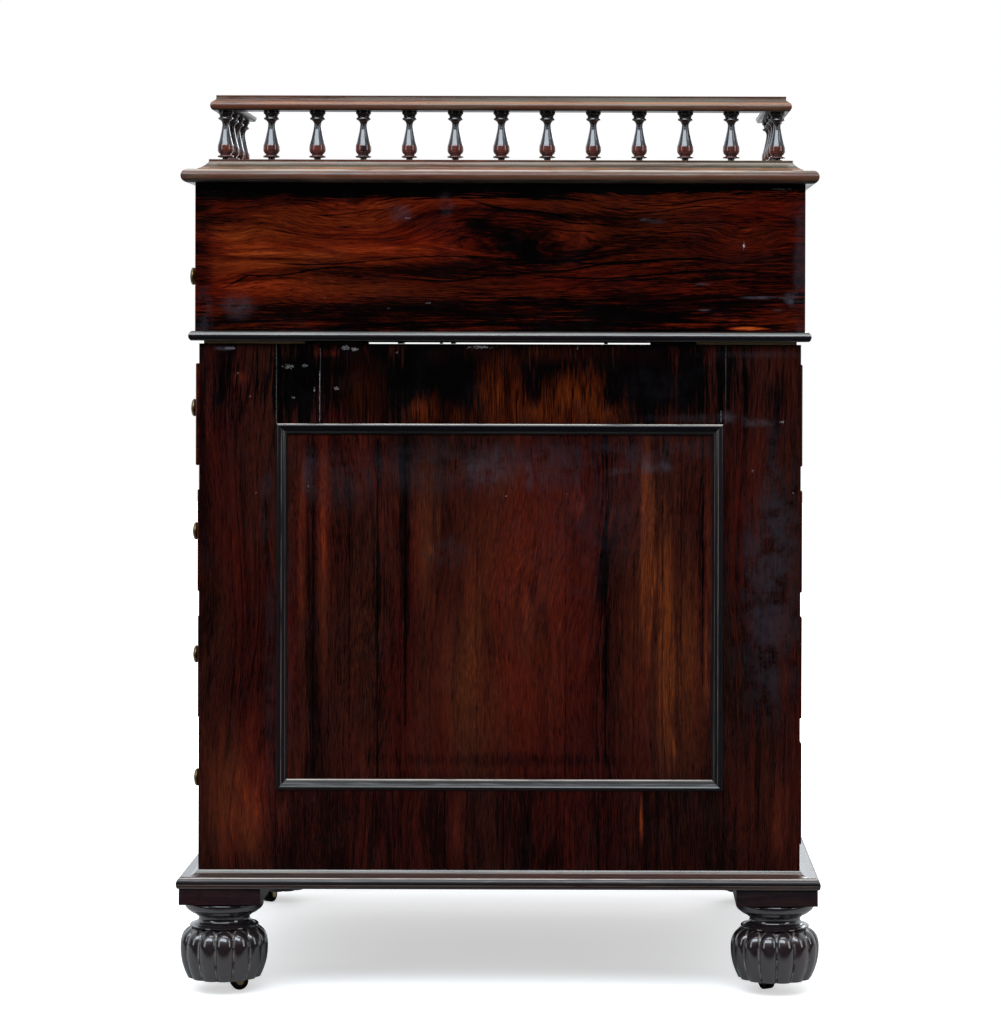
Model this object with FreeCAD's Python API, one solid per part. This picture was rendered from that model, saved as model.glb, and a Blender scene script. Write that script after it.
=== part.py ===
import FreeCAD, Part
import math
import os

Vector = FreeCAD.Vector
os.makedirs("parts", exist_ok=True)

# Davenport desk, in millimetres. +Z is up, +Y points to the sitter and -X is the sitter's right, where
# the drawers open. The origin is on the floor, under the middle of the plinth.

# Pedestal's outside sizes, and what steps out from it above and below
carcase_width = 582.8
carcase_depth = 531.4
carcase_height = 509.8
plinth_projection = 19.25
plinth_height = 15.7
plinth_nose = 4.4
plinth_cove_height = 5.0
plinth_toe = 4.0
box_side_overhang = 3.6
box_end_overhang = 4.0
top_overhang = 12.7

# Feet
foot_clear = 14.5            # from the floor to the foot's lowest edge
melon_height = 52.5
melon_radius = 43.5
melon_bottom_radius = 36.0
melon_top_radius = 28.5
melon_lobes = 16
lobe_groove = 3.1
neck_height = 8.0
neck_radius = 24.2
disc_height = 15.0
disc_radius = 38.3
tenon_radius = 10.0
tenon_height = 12.0
foot_block_side = 78.6
foot_block_height = 16.0
foot_block_inset = 2.6
lobe_turn = {"back_left": 0.0, "back_right": 2.9, "front_left": 7.0, "front_right": 4.0}

# Casters
wheel_radius = 8.5
wheel_width = 9.8
wheel_edge = 1.2
wheel_play = 0.35
axle_radius = 1.6
caster_trail = 14.6
cheek_thickness = 1.8
cheek_eye_radius = 3.4
crown_gap = 0.8
crown_thickness = 3.0
crown_boss_radius = 7.0
crown_boss_drop = 2.3
pintle_radius = 3.0
pintle_length = 17.0
socket_wall = 2.0
plate_radius = 17.0
plate_thickness = 2.0
recess_radius = 25.2
running_fit = 0.05
caster_turn = {"back_left": 18.0, "back_right": 120.0, "front_left": 240.0, "front_right": 75.0}

# Pedestal
frame_thickness = 24.0
stile_width = 74.6
frame_rail_height = 76.9
frame_tenon_length = 32.0
frame_tenon_thickness = 8.0
frame_tenon_shoulder = 14.0
panel_thickness = 10.0
panel_sink = 5.0
panel_groove = 8.0
panel_bead_width = 10.7
panel_bead_rise = 1.6
side_thickness = 20.0
top_rail_height = 18.9
bottom_rail_height = 21.1
drawer_rail_height = 22.6
drawer_count = 4
dummy_board_thickness = 12.0           # backing behind the dummy drawer fronts
base_top_thickness = 18.4
runner_width = 26.0

# Cockbeads, drawers and brass
cockbead_width = 3.2
cockbead_proud = 3.3
cockbead_depth = 9.0
front_play = 0.5
slide_play = 0.3
side_play = 0.8
drawer_front_thickness = 20.0
drawer_room_behind = 42.8
drawer_side_thickness = 9.0
drawer_back_thickness = 9.0
drawer_bottom_thickness = 6.0
drawer_bottom_rise = 5.0
drawer_top_gap = 5.0
drawer_back_drop = 3.0
drawer_stop = 12.0
tail_length = 10.0
tail_flare = 2.5
drawer_ajar = (3.4, 1.5, 1.0, 0.0)
knob_from_end = 69.7           # drawer opening's end to the knob
knob_above_middle = 5.0
knob_length = 15.6
knob_radius = 8.8
knob_rose_radius = 6.6
knob_neck_radius = 3.8
escutcheon_radius = 6.5
escutcheon_thickness = 1.2
escutcheon_proud = 0.4
keyhole_radius = 1.5
keyhole_slot_length = 5.0
keyhole_from_top = 30.0
lock_width = 44.0
lock_height = 30.0
lock_depth = 8.0
lock_let_in = 4.0
lock_from_top = 2.0

# Slide between pedestal and writing box
slide_gap = 2.7
slide_travel = 200.0
bearer_width = 97.4
bearer_inset = 4.0
batten_width = 32.0
batten_from_bearer = 8.0
batten_flare = 3.0
batten_depth = 7.7           # below the top of the pedestal
housing_end = 6.4            # wood left at each end of a housing

# Writing box
box_wall_thickness = 12.0
box_bottom_thickness = 12.0
box_back_height = 152.5      # from the box's lower edge to the underside of its top
base_bead_height = 9.6
base_bead_proud = 5.9
top_thickness = 23.6
flat_depth = 192.4           # moulded back edge to the hinge line
front_drop = 94.3            # hinge line down to the lid's front edge
edge_flat = 24.3             # width of the moulding round the top
edge_upright = 2.3
edge_cove_width = 9.8
edge_cove_depth = 7.2
edge_fillet = 0.9
lid_gap = 0.8
lid_seat = 0.2

# Gallery
baluster_count = 13
side_balusters = 3
gallery_side_inset = 1.1     # top's moulding to the rail, at the two ends
gallery_back_inset = -0.2    # and along the back
gallery_from_hinge = 20.4    # last baluster to the lid's hinge line
baluster_height = 47.9
baluster_radius = 8.1
rail_width = 27.0
rail_height = 14.6
rail_top_width = 16.4

# Lid
lid_border_width = 42.0
leather_border_width = 20.0
leather_thickness = 1.0
rest_width = 9.0
rest_height = 7.0
rest_from_side = 95.0
rest_from_front = 34.0
hinge_from_side = 95.0
hinge_length = 45.0
hinge_leaf_depth = 18.0
hinge_leaf_thickness = 1.2
hinge_knuckle_radius = 3.0
hinge_pin_radius = 1.2
hinge_rise = 1.2
strike_width = 12.0
strike_length = 50.0
strike_thickness = 1.5

# Fittings inside the writing box
partition_thickness = 6.0
shelf_thickness = 6.0
small_drawer_height = 81.8   # opening, above the box bottom
divider_thickness = 5.0
divider_scoop_depth = 26.0
divider_setback = 4.0
pigeonholes = 6
small_side_thickness = 6.0
small_front_thickness = 8.0
small_knob_radius = 5.0
small_knob_length = 9.0
small_case_drop = 2.0
fittings_setback = 2.0
dummy_small_front_thickness = 8.0

# Pen drawer in the sitter's right-hand side of the box
pen_back_room = 13.0         # box back to the drawer's opening
pen_front_room = 14.7        # opening to the backs of the dummy fronts
pen_height = 49.0
pen_middle_height = 64.2            # above the box's lower edge
pen_room_behind = 33.0       # tray's end to the middle of the box
pen_front_thickness = 12.0
pen_side_thickness = 6.0
pen_guide_width = 6.0
pen_bearer_width = 20.0
pen_well_length = 92.0              # length of the ink compartment at the front of the tray
pen_divider_thickness = 4.0
pen_play = 0.2
pen_tray_drop = 2.0

# Heights and half sizes that follow
foot_top = foot_clear + melon_height + neck_height + disc_height
plinth_low = foot_top + foot_block_height
carcase_low = plinth_low + plinth_height
carcase_top = carcase_low + carcase_height
box_low = carcase_top + slide_gap
box_floor = box_low + box_bottom_thickness
top_low = box_low + box_back_height
top_high = top_low + top_thickness
rail_low = top_high + baluster_height
half_base = (carcase_width / 2, carcase_depth / 2)
half_plinth = (half_base[0] + plinth_projection, half_base[1] + plinth_projection)
half_box = (half_base[0] + box_side_overhang, half_base[1] + box_end_overhang)
half_top = (half_box[0] + top_overhang, half_box[1] + top_overhang)
inner_depth = half_base[1] - frame_thickness
inner_width = half_base[0] - side_thickness
hinge_y = flat_depth - half_top[1]
slope = math.atan2(front_drop, half_top[1] - hinge_y)
lid_length = (half_top[1] - hinge_y) / math.cos(slope)
lid_thickness = top_thickness * math.cos(slope)
drawer_pitch = (carcase_height - top_rail_height - bottom_rail_height + drawer_rail_height) / drawer_count
drawer_opening_height = drawer_pitch - drawer_rail_height
drawer_length = carcase_width - side_thickness - drawer_room_behind
opening_tops = [carcase_top - top_rail_height - k * drawer_pitch for k in range(drawer_count)]
knob_spacing = 2 * (inner_depth - knob_from_end)
bearer_inner = half_base[0] - bearer_inset - bearer_width
batten_inner = bearer_inner - batten_from_bearer - batten_width
housing_reach = inner_depth - housing_end
gallery_x = half_top[0] - edge_flat - gallery_side_inset - rail_width / 2
gallery_y = half_top[1] - edge_flat - gallery_back_inset - rail_width / 2
baluster_spacing = 2 * gallery_x / (baluster_count - 1)
side_spacing = (gallery_y + hinge_y - gallery_from_hinge) / side_balusters
hinge_spacing = 2 * (half_box[0] - hinge_from_side)
rest_length = 2 * (half_box[0] - rest_from_side)
pen_length = half_box[0] - pen_room_behind
pen_back = box_wall_thickness - half_box[1] + pen_back_room
pen_width = hinge_y - fittings_setback - dummy_small_front_thickness - pen_front_room - pen_back
big = 2000.0


def face(points, place):
    """Closed face. A point is (u, v); a pair of points is an arc's middle and end."""
    first = here = place(*points[0])
    edges = []
    for step in list(points[1:]) + [points[0]]:
        if isinstance(step[0], tuple):
            middle, end = place(*step[0]), place(*step[1])
            edges.append(Part.Arc(here, middle, end).toShape())
        else:
            end = place(*step)
            if end.distanceToPoint(here) > 1e-6:
                edges.append(Part.LineSegment(here, end).toShape())
        here = end
    return Part.Face(Part.Wire(edges))


def prism(points, axis, low, high):
    """Outline in the plane across an axis, drawn out along it: x takes (y, z), y (x, z), z (x, y)."""
    if axis == "x":
        return face(points, lambda u, v: Vector(low, u, v)).extrude(Vector(high - low, 0, 0))
    if axis == "y":
        return face(points, lambda u, v: Vector(u, low, v)).extrude(Vector(0, high - low, 0))
    return face(points, lambda u, v: Vector(u, v, low)).extrude(Vector(0, 0, high - low))


def block(x, y, z):
    """Box between pairs of limits."""
    corner = Vector(min(x), min(y), min(z))
    return Part.makeBox(abs(x[1] - x[0]), abs(y[1] - y[0]), abs(z[1] - z[0]), corner)


def rod(radius, start, end):
    """Cylinder from one point to another."""
    along = end - start
    return Part.makeCylinder(radius, along.Length, start, along)


def turned(points):
    """Solid of revolution about Z from an outline of (radius, height)."""
    return face(points, lambda u, v: Vector(u, 0, v)).revolve(Vector(), Vector(0, 0, 1), 360)


def moved(shape, x=0.0, y=0.0, z=0.0):
    copy = shape.copy()
    copy.translate(Vector(x, y, z))
    return copy


def spun(shape, degrees, centre=Vector(), axis=Vector(0, 0, 1)):
    copy = shape.copy()
    copy.rotate(centre, axis, degrees)
    return copy


def solids(shape):
    return list(shape.Solids)


def mitred(half_u, half_v, profile):
    """Four lengths of moulding round a rectangle; the profile is (outwards, height)."""
    reach = max(half_u, half_v)
    inner = min(half_u, half_v) * 0.9999
    lengths = []
    for quarter in range(4):
        across, along = (half_u, half_v) if quarter % 2 == 0 else (half_v, half_u)
        bar = prism([(across + p[0], p[1]) if not isinstance(p[0], tuple)
                     else tuple((across + q[0], q[1]) for q in p) for p in profile],
                    "y", -along - reach, along + reach)
        wedge = prism([(across + reach, -along - reach), (across + reach, along + reach),
                       (across - inner, along - inner), (across - inner, inner - along)], "z", -big, big)
        lengths.append(spun(bar.common(wedge), 90 * quarter))
    return lengths


def stood(shape, side):
    """Turns work laid flat, face up, to stand on one side of the desk with its face outwards."""
    copy = shape.copy()
    copy.rotate(Vector(), Vector(1, 0, 0), 90)
    copy.rotate(Vector(), Vector(0, 0, 1), {"back": 0, "dummy": 90, "front": 180, "drawers": -90}[side])
    return copy


def export(name, pieces):
    flat = [solid for piece in pieces for solid in solids(piece)]
    shape = flat[0] if len(flat) == 1 else Part.makeCompound(flat)
    shape.exportStep("parts/" + name + ".step")


# Feet

def melon():
    """Lobed body of a foot, lofted through rings of arcs."""
    middle_radius = melon_radius - (melon_radius - melon_bottom_radius) * 0.47
    rings = (
        (0.00, melon_bottom_radius, 0.75),
        (0.18, middle_radius, 0.9),
        (0.39, melon_radius * 0.972, 1.0),
        (0.58, melon_radius, 1.0),
        (0.75, melon_radius * 0.968, 0.95),
        (0.865, melon_radius * 0.885, 0.75),
        (0.94, (melon_top_radius + melon_radius * 0.75) / 2, 0.3),
        (1.00, melon_top_radius, 0.0),
    )
    half = math.pi / melon_lobes
    wires = []
    for share, crest, depth in rings:
        height = foot_clear + share * melon_height
        groove = (crest - depth * lobe_groove) if depth else crest
        arcs = []
        for lobe in range(melon_lobes):
            middle = (2 * lobe + 0.5) * half
            ends = [Vector(groove * math.cos(a), groove * math.sin(a), height)
                    for a in (middle - half, middle + half)]
            top = Vector(crest * math.cos(middle), crest * math.sin(middle), height)
            arcs.append(Part.Arc(ends[0], top, ends[1]).toShape())
        wires.append(Part.Wire(arcs))
    return Part.makeLoft(wires, True, False, False)


def foot():
    """One turned foot with its recess and socket hole for the caster and the tenon on top."""
    neck_low = foot_clear + melon_height
    disc_low = neck_low + neck_height
    head = turned([
        (0, neck_low), (melon_top_radius, neck_low),
        ((neck_radius * 1.037, neck_low + neck_height * 0.32), (neck_radius, neck_low + neck_height * 0.62)),
        (neck_radius, neck_low + neck_height * 0.875),
        ((neck_radius + (disc_radius - neck_radius) * 0.36, disc_low + disc_height * 0.16),
         (disc_radius * 0.935, disc_low + disc_height * 0.4)),
        ((disc_radius, disc_low + disc_height * 0.68), (disc_radius * 0.948, foot_top)),
        (tenon_radius, foot_top), (tenon_radius, foot_top + tenon_height), (0, foot_top + tenon_height)])
    recess = rod(recess_radius, Vector(0, 0, 0), Vector(0, 0, recess_top))
    socket = rod(socket_radius + slide_play / 3, Vector(0, 0, 0), Vector(0, 0, socket_top + slide_play))
    return melon().fuse(head).cut(recess).cut(socket).removeSplitter()


def foot_block():
    side = foot_block_side / 2
    body = block((-side, side), (-side, side), (foot_top, foot_top + foot_block_height))
    hole = rod(tenon_radius + slide_play / 3, Vector(0, 0, foot_top - 1),
               Vector(0, 0, foot_top + tenon_height + slide_play))
    return body.cut(hole)


# Casters

crown_low = 2 * wheel_radius + crown_gap
crown_top = crown_low + crown_thickness
plate_low = crown_top + slide_play
recess_top = plate_low + plate_thickness
socket_radius = pintle_radius + running_fit + socket_wall
socket_top = crown_top + pintle_length + slide_play + socket_wall
horn_half = wheel_width / 2 + wheel_play + cheek_thickness


def caster_wheel():
    rim = wheel_radius - wheel_edge
    half = wheel_width / 2
    body = turned([(axle_radius + running_fit, -half), (rim, -half),
                   ((rim + wheel_edge * 0.7, wheel_edge * 0.3 - half), (wheel_radius, wheel_edge - half)),
                   (wheel_radius, half - wheel_edge),
                   ((rim + wheel_edge * 0.7, half - wheel_edge * 0.3), (rim, half)),
                   (axle_radius + running_fit, half)])
    return moved(spun(body, 90, axis=Vector(1, 0, 0)), caster_trail, 0, wheel_radius)


def caster_horn():
    """Crown plate with its boss and pintle, two cheeks and the axle through them."""
    tip = caster_trail + cheek_eye_radius + 1.6
    crown = prism([(0, -horn_half), (tip, -horn_half), (tip, horn_half), (0, horn_half),
                   ((-horn_half, 0), (0, -horn_half))], "z", crown_low, crown_top)
    boss = rod(crown_boss_radius, Vector(0, 0, crown_low - crown_boss_drop), Vector(0, 0, crown_top))
    pintle = rod(pintle_radius, Vector(0, 0, crown_low), Vector(0, 0, crown_top + pintle_length))
    axle = rod(axle_radius, Vector(caster_trail, -horn_half, wheel_radius),
               Vector(caster_trail, horn_half, wheel_radius))
    horn = crown.fuse([boss, pintle])
    eye = cheek_eye_radius
    outline = [(caster_trail - eye * 1.8, crown_low + 1), (caster_trail - eye, wheel_radius),
               ((caster_trail, wheel_radius - eye), (caster_trail + eye, wheel_radius)),
               (tip, crown_low + 1)]
    for side in (-1, 1):
        inner = side * (horn_half - cheek_thickness)
        horn = horn.fuse(prism(outline, "y", inner, side * horn_half))
    return [horn.cut(axle).removeSplitter(), axle]


def caster_plate():
    """Round plate at the top of the recess, with the blind socket that holds the pintle."""
    bore = pintle_radius + running_fit
    return turned([(bore, plate_low), (plate_radius, plate_low), (plate_radius, recess_top),
                   (socket_radius, recess_top), (socket_radius, socket_top), (0, socket_top),
                   (0, socket_top - socket_wall), (bore, socket_top - socket_wall)])


corner_x = half_plinth[0] - foot_block_inset - foot_block_side / 2
corner_y = half_plinth[1] - foot_block_inset - foot_block_side / 2
corners = {"back_left": (-corner_x, -corner_y), "back_right": (corner_x, -corner_y),
           "front_left": (-corner_x, corner_y), "front_right": (corner_x, corner_y)}


def export_feet():
    one_foot, one_block, plate = foot(), foot_block(), caster_plate()
    export("bun_feet", [moved(spun(one_foot, lobe_turn[c]), *corners[c]) for c in corners])
    export("foot_blocks", [moved(one_block, *corners[c]) for c in corners])
    export("caster_plates", [moved(plate, *corners[c]) for c in corners])
    for corner in corners:
        horn = [moved(spun(piece, caster_turn[corner]), *corners[corner]) for piece in caster_horn()]
        export("caster_horn_" + corner, horn)
        export("caster_wheel_" + corner, [moved(spun(caster_wheel(), caster_turn[corner]), *corners[corner])])


# Pedestal

def plinth():
    out = plinth_projection
    cove = out * 0.47
    fillet_z = carcase_low - plinth_cove_height
    profile = [(0, plinth_low), (out - plinth_toe * 0.3, plinth_low),
               ((out, plinth_low + plinth_toe), (out - plinth_nose, fillet_z + plinth_cove_height * 0.08)),
               (cove, fillet_z),
               ((cove * 0.38, fillet_z + plinth_cove_height * 0.34), (out * 0.042, carcase_low)),
               (0, carcase_low)]
    board = block((-half_base[0], half_base[0]), (-half_base[1], half_base[1]), (plinth_low, carcase_low))
    export("plinth", [board] + mitred(*half_base, profile))


def framed_end():
    """Back of the pedestal: two stiles, two tenoned rails, the panel in its groove and the bead round it."""
    x, y = half_base
    outside = (-y, frame_thickness - y)
    open_x = x - stile_width
    open_z = (carcase_low + frame_rail_height, carcase_top - frame_rail_height)
    sunk = (panel_sink - y, panel_sink + panel_thickness - y)
    panel = block((-open_x - panel_groove, open_x + panel_groove), sunk,
                  (open_z[0] - panel_groove, open_z[1] + panel_groove))
    middle = frame_thickness / 2 + panel_sink / 2 - y
    tenon_y = (middle - frame_tenon_thickness / 2, middle + frame_tenon_thickness / 2)
    stiles = [block((s * open_x, s * x), outside, (carcase_low, carcase_top)) for s in (-1, 1)]
    rails = []
    for low, high in ((carcase_low, open_z[0]), (open_z[1], carcase_top)):
        tenon = block((-open_x - frame_tenon_length, open_x + frame_tenon_length), tenon_y,
                      (low + frame_tenon_shoulder, high - frame_tenon_shoulder))
        rails.append(block((-open_x, open_x), outside, (low, high)).fuse(tenon).removeSplitter().cut(panel))
        stiles = [stile.cut(tenon) for stile in stiles]
    stiles = [stile.cut(panel) for stile in stiles]
    rise = panel_sink + panel_bead_rise
    width = panel_bead_width
    bead = mitred(open_x, (open_z[1] - open_z[0]) / 2,
                  [(0, 0), (0, rise * 0.7), ((-width * 0.11, rise * 0.925), (-width * 0.3, rise)),
                   ((-width * 0.757, rise * 0.6), (-width, rise * 0.18)), (-width, 0)])
    seat = y - panel_sink
    bead = [moved(stood(moved(b, 0, 0, seat), "back"), z=(open_z[0] + open_z[1]) / 2) for b in bead]
    return stiles + rails, [panel], bead


def export_ends():
    frame, panel, bead = framed_end()
    export("back_frame", frame)
    export("back_panel", panel)
    export("back_panel_bead", bead)
    export("front_frame", [spun(s, 180) for s in frame])
    export("front_panel", [spun(s, 180) for s in panel + bead])


def rail_levels():
    """Heights of the five rails between and round the drawer openings, top first."""
    levels = [(opening_tops[0], carcase_top)]
    for k in range(drawer_count - 1):
        levels.append((opening_tops[k + 1], opening_tops[k] - drawer_opening_height))
    levels.append((carcase_low, opening_tops[-1] - drawer_opening_height))
    return levels


def drawer_fronts(side_name, opening_top, front_thickness, keyhole):
    """One front and its four cockbeads for a side of the pedestal."""
    half_u = inner_depth - front_play
    half_v = drawer_opening_height / 2 - front_play
    board_u, board_v = half_u - cockbead_width, half_v - cockbead_width
    outside = half_base[0]
    board = block((-board_u, board_u), (-board_v, board_v), (outside - front_thickness, outside))
    if front_thickness > cockbead_depth:
        core = block((-half_u, half_u), (-half_v, half_v),
                     (outside - front_thickness, outside - cockbead_depth))
        board = board.fuse(core).removeSplitter()
    deep = min(cockbead_depth, front_thickness)
    w, proud = cockbead_width, cockbead_proud
    beads = mitred(half_u, half_v, [(0, outside - deep), (0, outside + proud - w / 2),
                                    ((-w / 2, outside + proud), (-w, outside + proud - w / 2)),
                                    (-w, outside - deep)])
    if keyhole:
        board = board.cut(moved(escutcheon_seat(), 0, keyhole_height(), outside))
    middle = opening_top - drawer_opening_height / 2
    return [moved(stood(piece, side_name), z=middle) for piece in [board] + beads]


def keyhole_height():
    return drawer_opening_height / 2 - keyhole_from_top


def keyhole_cut(depth):
    """Round eye with a slot below it, cut downwards from z = 0."""
    eye = rod(keyhole_radius, Vector(0, 0, -depth), Vector(0, 0, 2))
    slot = block((-keyhole_radius * 0.55, keyhole_radius * 0.55), (-keyhole_slot_length, 0), (-depth, 2))
    return eye.fuse(slot)


def escutcheon_seat():
    seat = rod(escutcheon_radius, Vector(0, 0, escutcheon_proud - escutcheon_thickness), Vector(0, 0, 2))
    return seat.fuse(keyhole_cut(drawer_front_thickness - lock_let_in))


def escutcheon():
    disc = rod(escutcheon_radius, Vector(0, 0, escutcheon_proud - escutcheon_thickness),
               Vector(0, 0, escutcheon_proud))
    return disc.cut(keyhole_cut(escutcheon_thickness))


def knob(length, radius, rose, neck):
    """Turned knob standing up from z = 0."""
    return turned([(0, 0), (rose, 0), (rose, length * 0.09), (neck + 0.6, length * 0.16),
                   ((neck, length * 0.32), (neck + 1.0, length * 0.5)), (radius * 0.86, length * 0.62),
                   ((radius, length * 0.74), (radius * 0.86, length * 0.87)),
                   ((radius * 0.55, length * 0.965), (radius * 0.12, length)), (0, length)])


def export_pedestal():
    plinth()
    export_ends()
    levels = rail_levels()
    front = (-half_base[0], -inner_width)
    depth = (-inner_depth, inner_depth)
    export("drawer_rails", [block(front, depth, level) for level in levels])
    board_face = inner_width + dummy_board_thickness
    panel = block((inner_width, board_face), depth, (carcase_low, carcase_top))
    export("dummy_side", [panel] + [block((board_face, half_base[0]), depth, level) for level in levels])
    fronts = []
    for top in opening_tops:
        fronts += drawer_fronts("dummy", top, half_base[0] - board_face, False)
    export("dummy_fronts", fronts)
    runners = []
    for low, high in levels[1:]:
        for s in (-1, 1):
            runners.append(block((-inner_width, inner_width),
                                 (s * (inner_depth - runner_width), s * inner_depth), (low, high)))
            stop_x = drawer_length - half_base[0] + slide_play
            stop = block((stop_x, stop_x + drawer_stop),
                         (s * (inner_depth - runner_width), s * (inner_depth - 2)),
                         (high, high + drawer_stop))
            runners.append(stop)
    export("drawer_runners", runners)
    top = block((-inner_width, inner_width), depth, (carcase_top - base_top_thickness, carcase_top))
    for s in (-1, 1):
        top = top.cut(batten(s, -housing_reach, housing_reach, slide_play))
    bearers = [block((s * bearer_inner, s * (half_base[0] - bearer_inset)),
                     (bearer_inset - half_base[1], half_base[1] - bearer_inset), (carcase_top, box_low))
               for s in (-1, 1)]
    export("base_top", [top] + bearers)


def batten(s, start, end, play):
    """Dovetail batten under the box, or the housing that it slides in when play is given."""
    inner, outer = batten_inner - play, batten_inner + batten_width + play
    low = carcase_top - batten_depth - play
    high = box_low
    return prism([(s * inner, high), (s * outer, high), (s * outer, carcase_top),
                  (s * (outer + batten_flare), low), (s * (inner - batten_flare), low),
                  (s * inner, carcase_top)], "y", start, end)


# Drawers

def drawer_case(length, half_width, height, front, side, back, tails):
    """Sides, back and bottom of a drawer. Its front's face is at x = 0 and it runs to +x, above z = 0."""
    rise, thin = drawer_bottom_rise, drawer_bottom_thickness
    pieces = []
    pitch = height / tails
    let_in = front * (1 - tail_length / drawer_front_thickness)
    for s in (-1, 1):
        inner, outer = s * (half_width - side), s * half_width
        board = block((front, length), (inner, outer), (0, height))
        for k in range(tails):
            middle = pitch * (k + 0.5)
            root, tip = pitch * 0.24, pitch * 0.24 + tail_flare
            tail = prism([(front, middle - root), (let_in, middle - tip), (let_in, middle + tip),
                          (front, middle + root)], "y", inner, outer)
            board = board.fuse(tail)
        pieces.append(board.removeSplitter())
    inner = half_width - side
    pieces.append(block((length - back, length), (-inner, inner), (rise + thin, height - drawer_back_drop)))
    pieces.append(block((front, length), (-inner, inner), (rise, rise + thin)))
    return pieces


def export_drawers():
    height = drawer_opening_height - slide_play - drawer_top_gap
    half_width = inner_depth - side_play
    for k in range(drawer_count):
        shift = -drawer_ajar[k]
        low = opening_tops[k] - drawer_opening_height
        middle = low + drawer_opening_height / 2
        case = drawer_case(drawer_length, half_width, height, drawer_front_thickness, drawer_side_thickness,
                           drawer_back_thickness, 3)
        case = [moved(piece, -half_base[0], 0, low + slide_play) for piece in case]
        fronts = drawer_fronts("drawers", opening_tops[k], drawer_front_thickness, True)
        inner_face = drawer_front_thickness - half_base[0]
        lock_top = low + slide_play + height - lock_from_top
        lock = block((inner_face - lock_let_in, inner_face + lock_depth - lock_let_in),
                     (-lock_width / 2, lock_width / 2), (lock_top - lock_height, lock_top))
        fronts[0] = fronts[0].cut(lock)
        for board in case[:2]:
            fronts[0] = fronts[0].cut(board)
        brasses = [lock, moved(stood(moved(escutcheon(), 0, keyhole_height(), half_base[0]), "drawers"),
                               z=middle)]
        for s in (-1, 1):
            pull = moved(knob(knob_length, knob_radius, knob_rose_radius, knob_neck_radius),
                         s * knob_spacing / 2, knob_above_middle, half_base[0])
            brasses.append(moved(stood(pull, "drawers"), z=middle))
        name = "drawer_" + str(k + 1)
        export(name + "_front", [moved(piece, shift) for piece in fronts])
        export(name + "_case", [moved(piece, shift) for piece in case])
        export(name + "_brasses", [moved(piece, shift) for piece in brasses])


# Writing box

def under_lid(y):
    """Height of the lid's underside, less its seat, at a distance from the middle."""
    return top_low - lid_seat - (y - hinge_y) * math.tan(slope)


def moulded_edge(edge, high):
    """Half section of the box's moulded top, from the middle out to its edge and back."""
    inner = edge - edge_flat
    cove_low = high - edge_upright - edge_cove_depth
    nose_top = cove_low - edge_fillet
    nose = (nose_top - (high - top_thickness)) / 2
    return [(inner, high), (inner, high - edge_upright),
            ((inner + edge_cove_width * 0.36, high - edge_upright - edge_cove_depth * 0.52),
             (inner + edge_cove_width, cove_low)),
            (inner + edge_cove_width, nose_top), (edge - nose, nose_top),
            ((edge, nose_top - nose), (edge - nose, high - top_thickness))]


def mirrored_points(points):
    """The same outline on the other side, in reverse order."""
    out = []
    flat = [p if not isinstance(p[0], tuple) else p[1] for p in points]
    for here, step in zip(reversed(flat[:-1]), reversed(points[1:])):
        if isinstance(step[0], tuple):
            out.append(((-step[0][0], step[0][1]), (-here[0], here[1])))
        else:
            out.append((-here[0], here[1]))
    return [(-flat[-1][0], flat[-1][1])] + out


def moulded_slab(half_x, back, front, high, moulded_back, moulded_front):
    """Board with the same moulding worked along its two ends and the stated long edges."""
    edge = moulded_edge(half_x, high)
    low = high - top_thickness
    across = prism(edge + mirrored_points(edge), "y", back, front)
    if moulded_front:
        right = moulded_edge(front, high)
    else:
        right = [(front, high), (front, low)]
    if moulded_back:
        left = mirrored_points(moulded_edge(-back, high))
    else:
        left = [(back, low), (back, high)]
    return across.common(prism(right + left, "x", -half_x, half_x)).removeSplitter()


def pen_limits():
    """Openings of the pen drawer: along Y and up."""
    middle_z = box_low + pen_middle_height
    return (pen_back, pen_back + pen_width), (middle_z - pen_height / 2, middle_z + pen_height / 2)


def hinge_line():
    return hinge_y, top_high + hinge_rise


def hinge_notches():
    """Round seats for the knuckles along the joint between top and lid."""
    y, z = hinge_line()
    half = hinge_length / 2 + slide_play
    return [rod(hinge_knuckle_radius + slide_play, Vector(s * hinge_spacing / 2 - half, y, z),
                Vector(s * hinge_spacing / 2 + half, y, z)) for s in (-1, 1)]


def hinge_half(middle, s, spans):
    """Leaf let into the edge on one side of the joint, with the knuckles in the given spans."""
    y, z = hinge_line()
    edge = y + s * lid_gap / 2
    leaf = block((middle - hinge_length / 2, middle + hinge_length / 2),
                 (edge, edge + s * hinge_leaf_thickness), (top_high - hinge_leaf_depth, top_high - 1))
    knuckles = []
    for start, end in spans:
        tube = rod(hinge_knuckle_radius, Vector(middle + start, y, z), Vector(middle + end, y, z))
        web = block((middle + start, middle + end), (y, edge + s * hinge_leaf_thickness),
                    (top_high - hinge_knuckle_radius, z))
        knuckles.append(tube.fuse(web))
    gaps = knuckle_gaps(middle, spans)
    body = leaf.fuse(knuckles)
    for gap in gaps:
        body = body.cut(gap)
    return body.removeSplitter()


def knuckle_gaps(middle, spans):
    """Room in a leaf for the other leaf's knuckles."""
    y, z = hinge_line()
    third = hinge_length / 6
    lengths = [(-hinge_length / 2, -third), (-third, third), (third, hinge_length / 2)]
    gaps = []
    for start, end in lengths:
        if not any(abs(start - s) < 1 for s, _ in spans):
            gaps.append(rod(hinge_knuckle_radius + slide_play, Vector(middle + start - slide_play, y, z),
                            Vector(middle + end + slide_play, y, z)))
    return gaps


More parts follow.
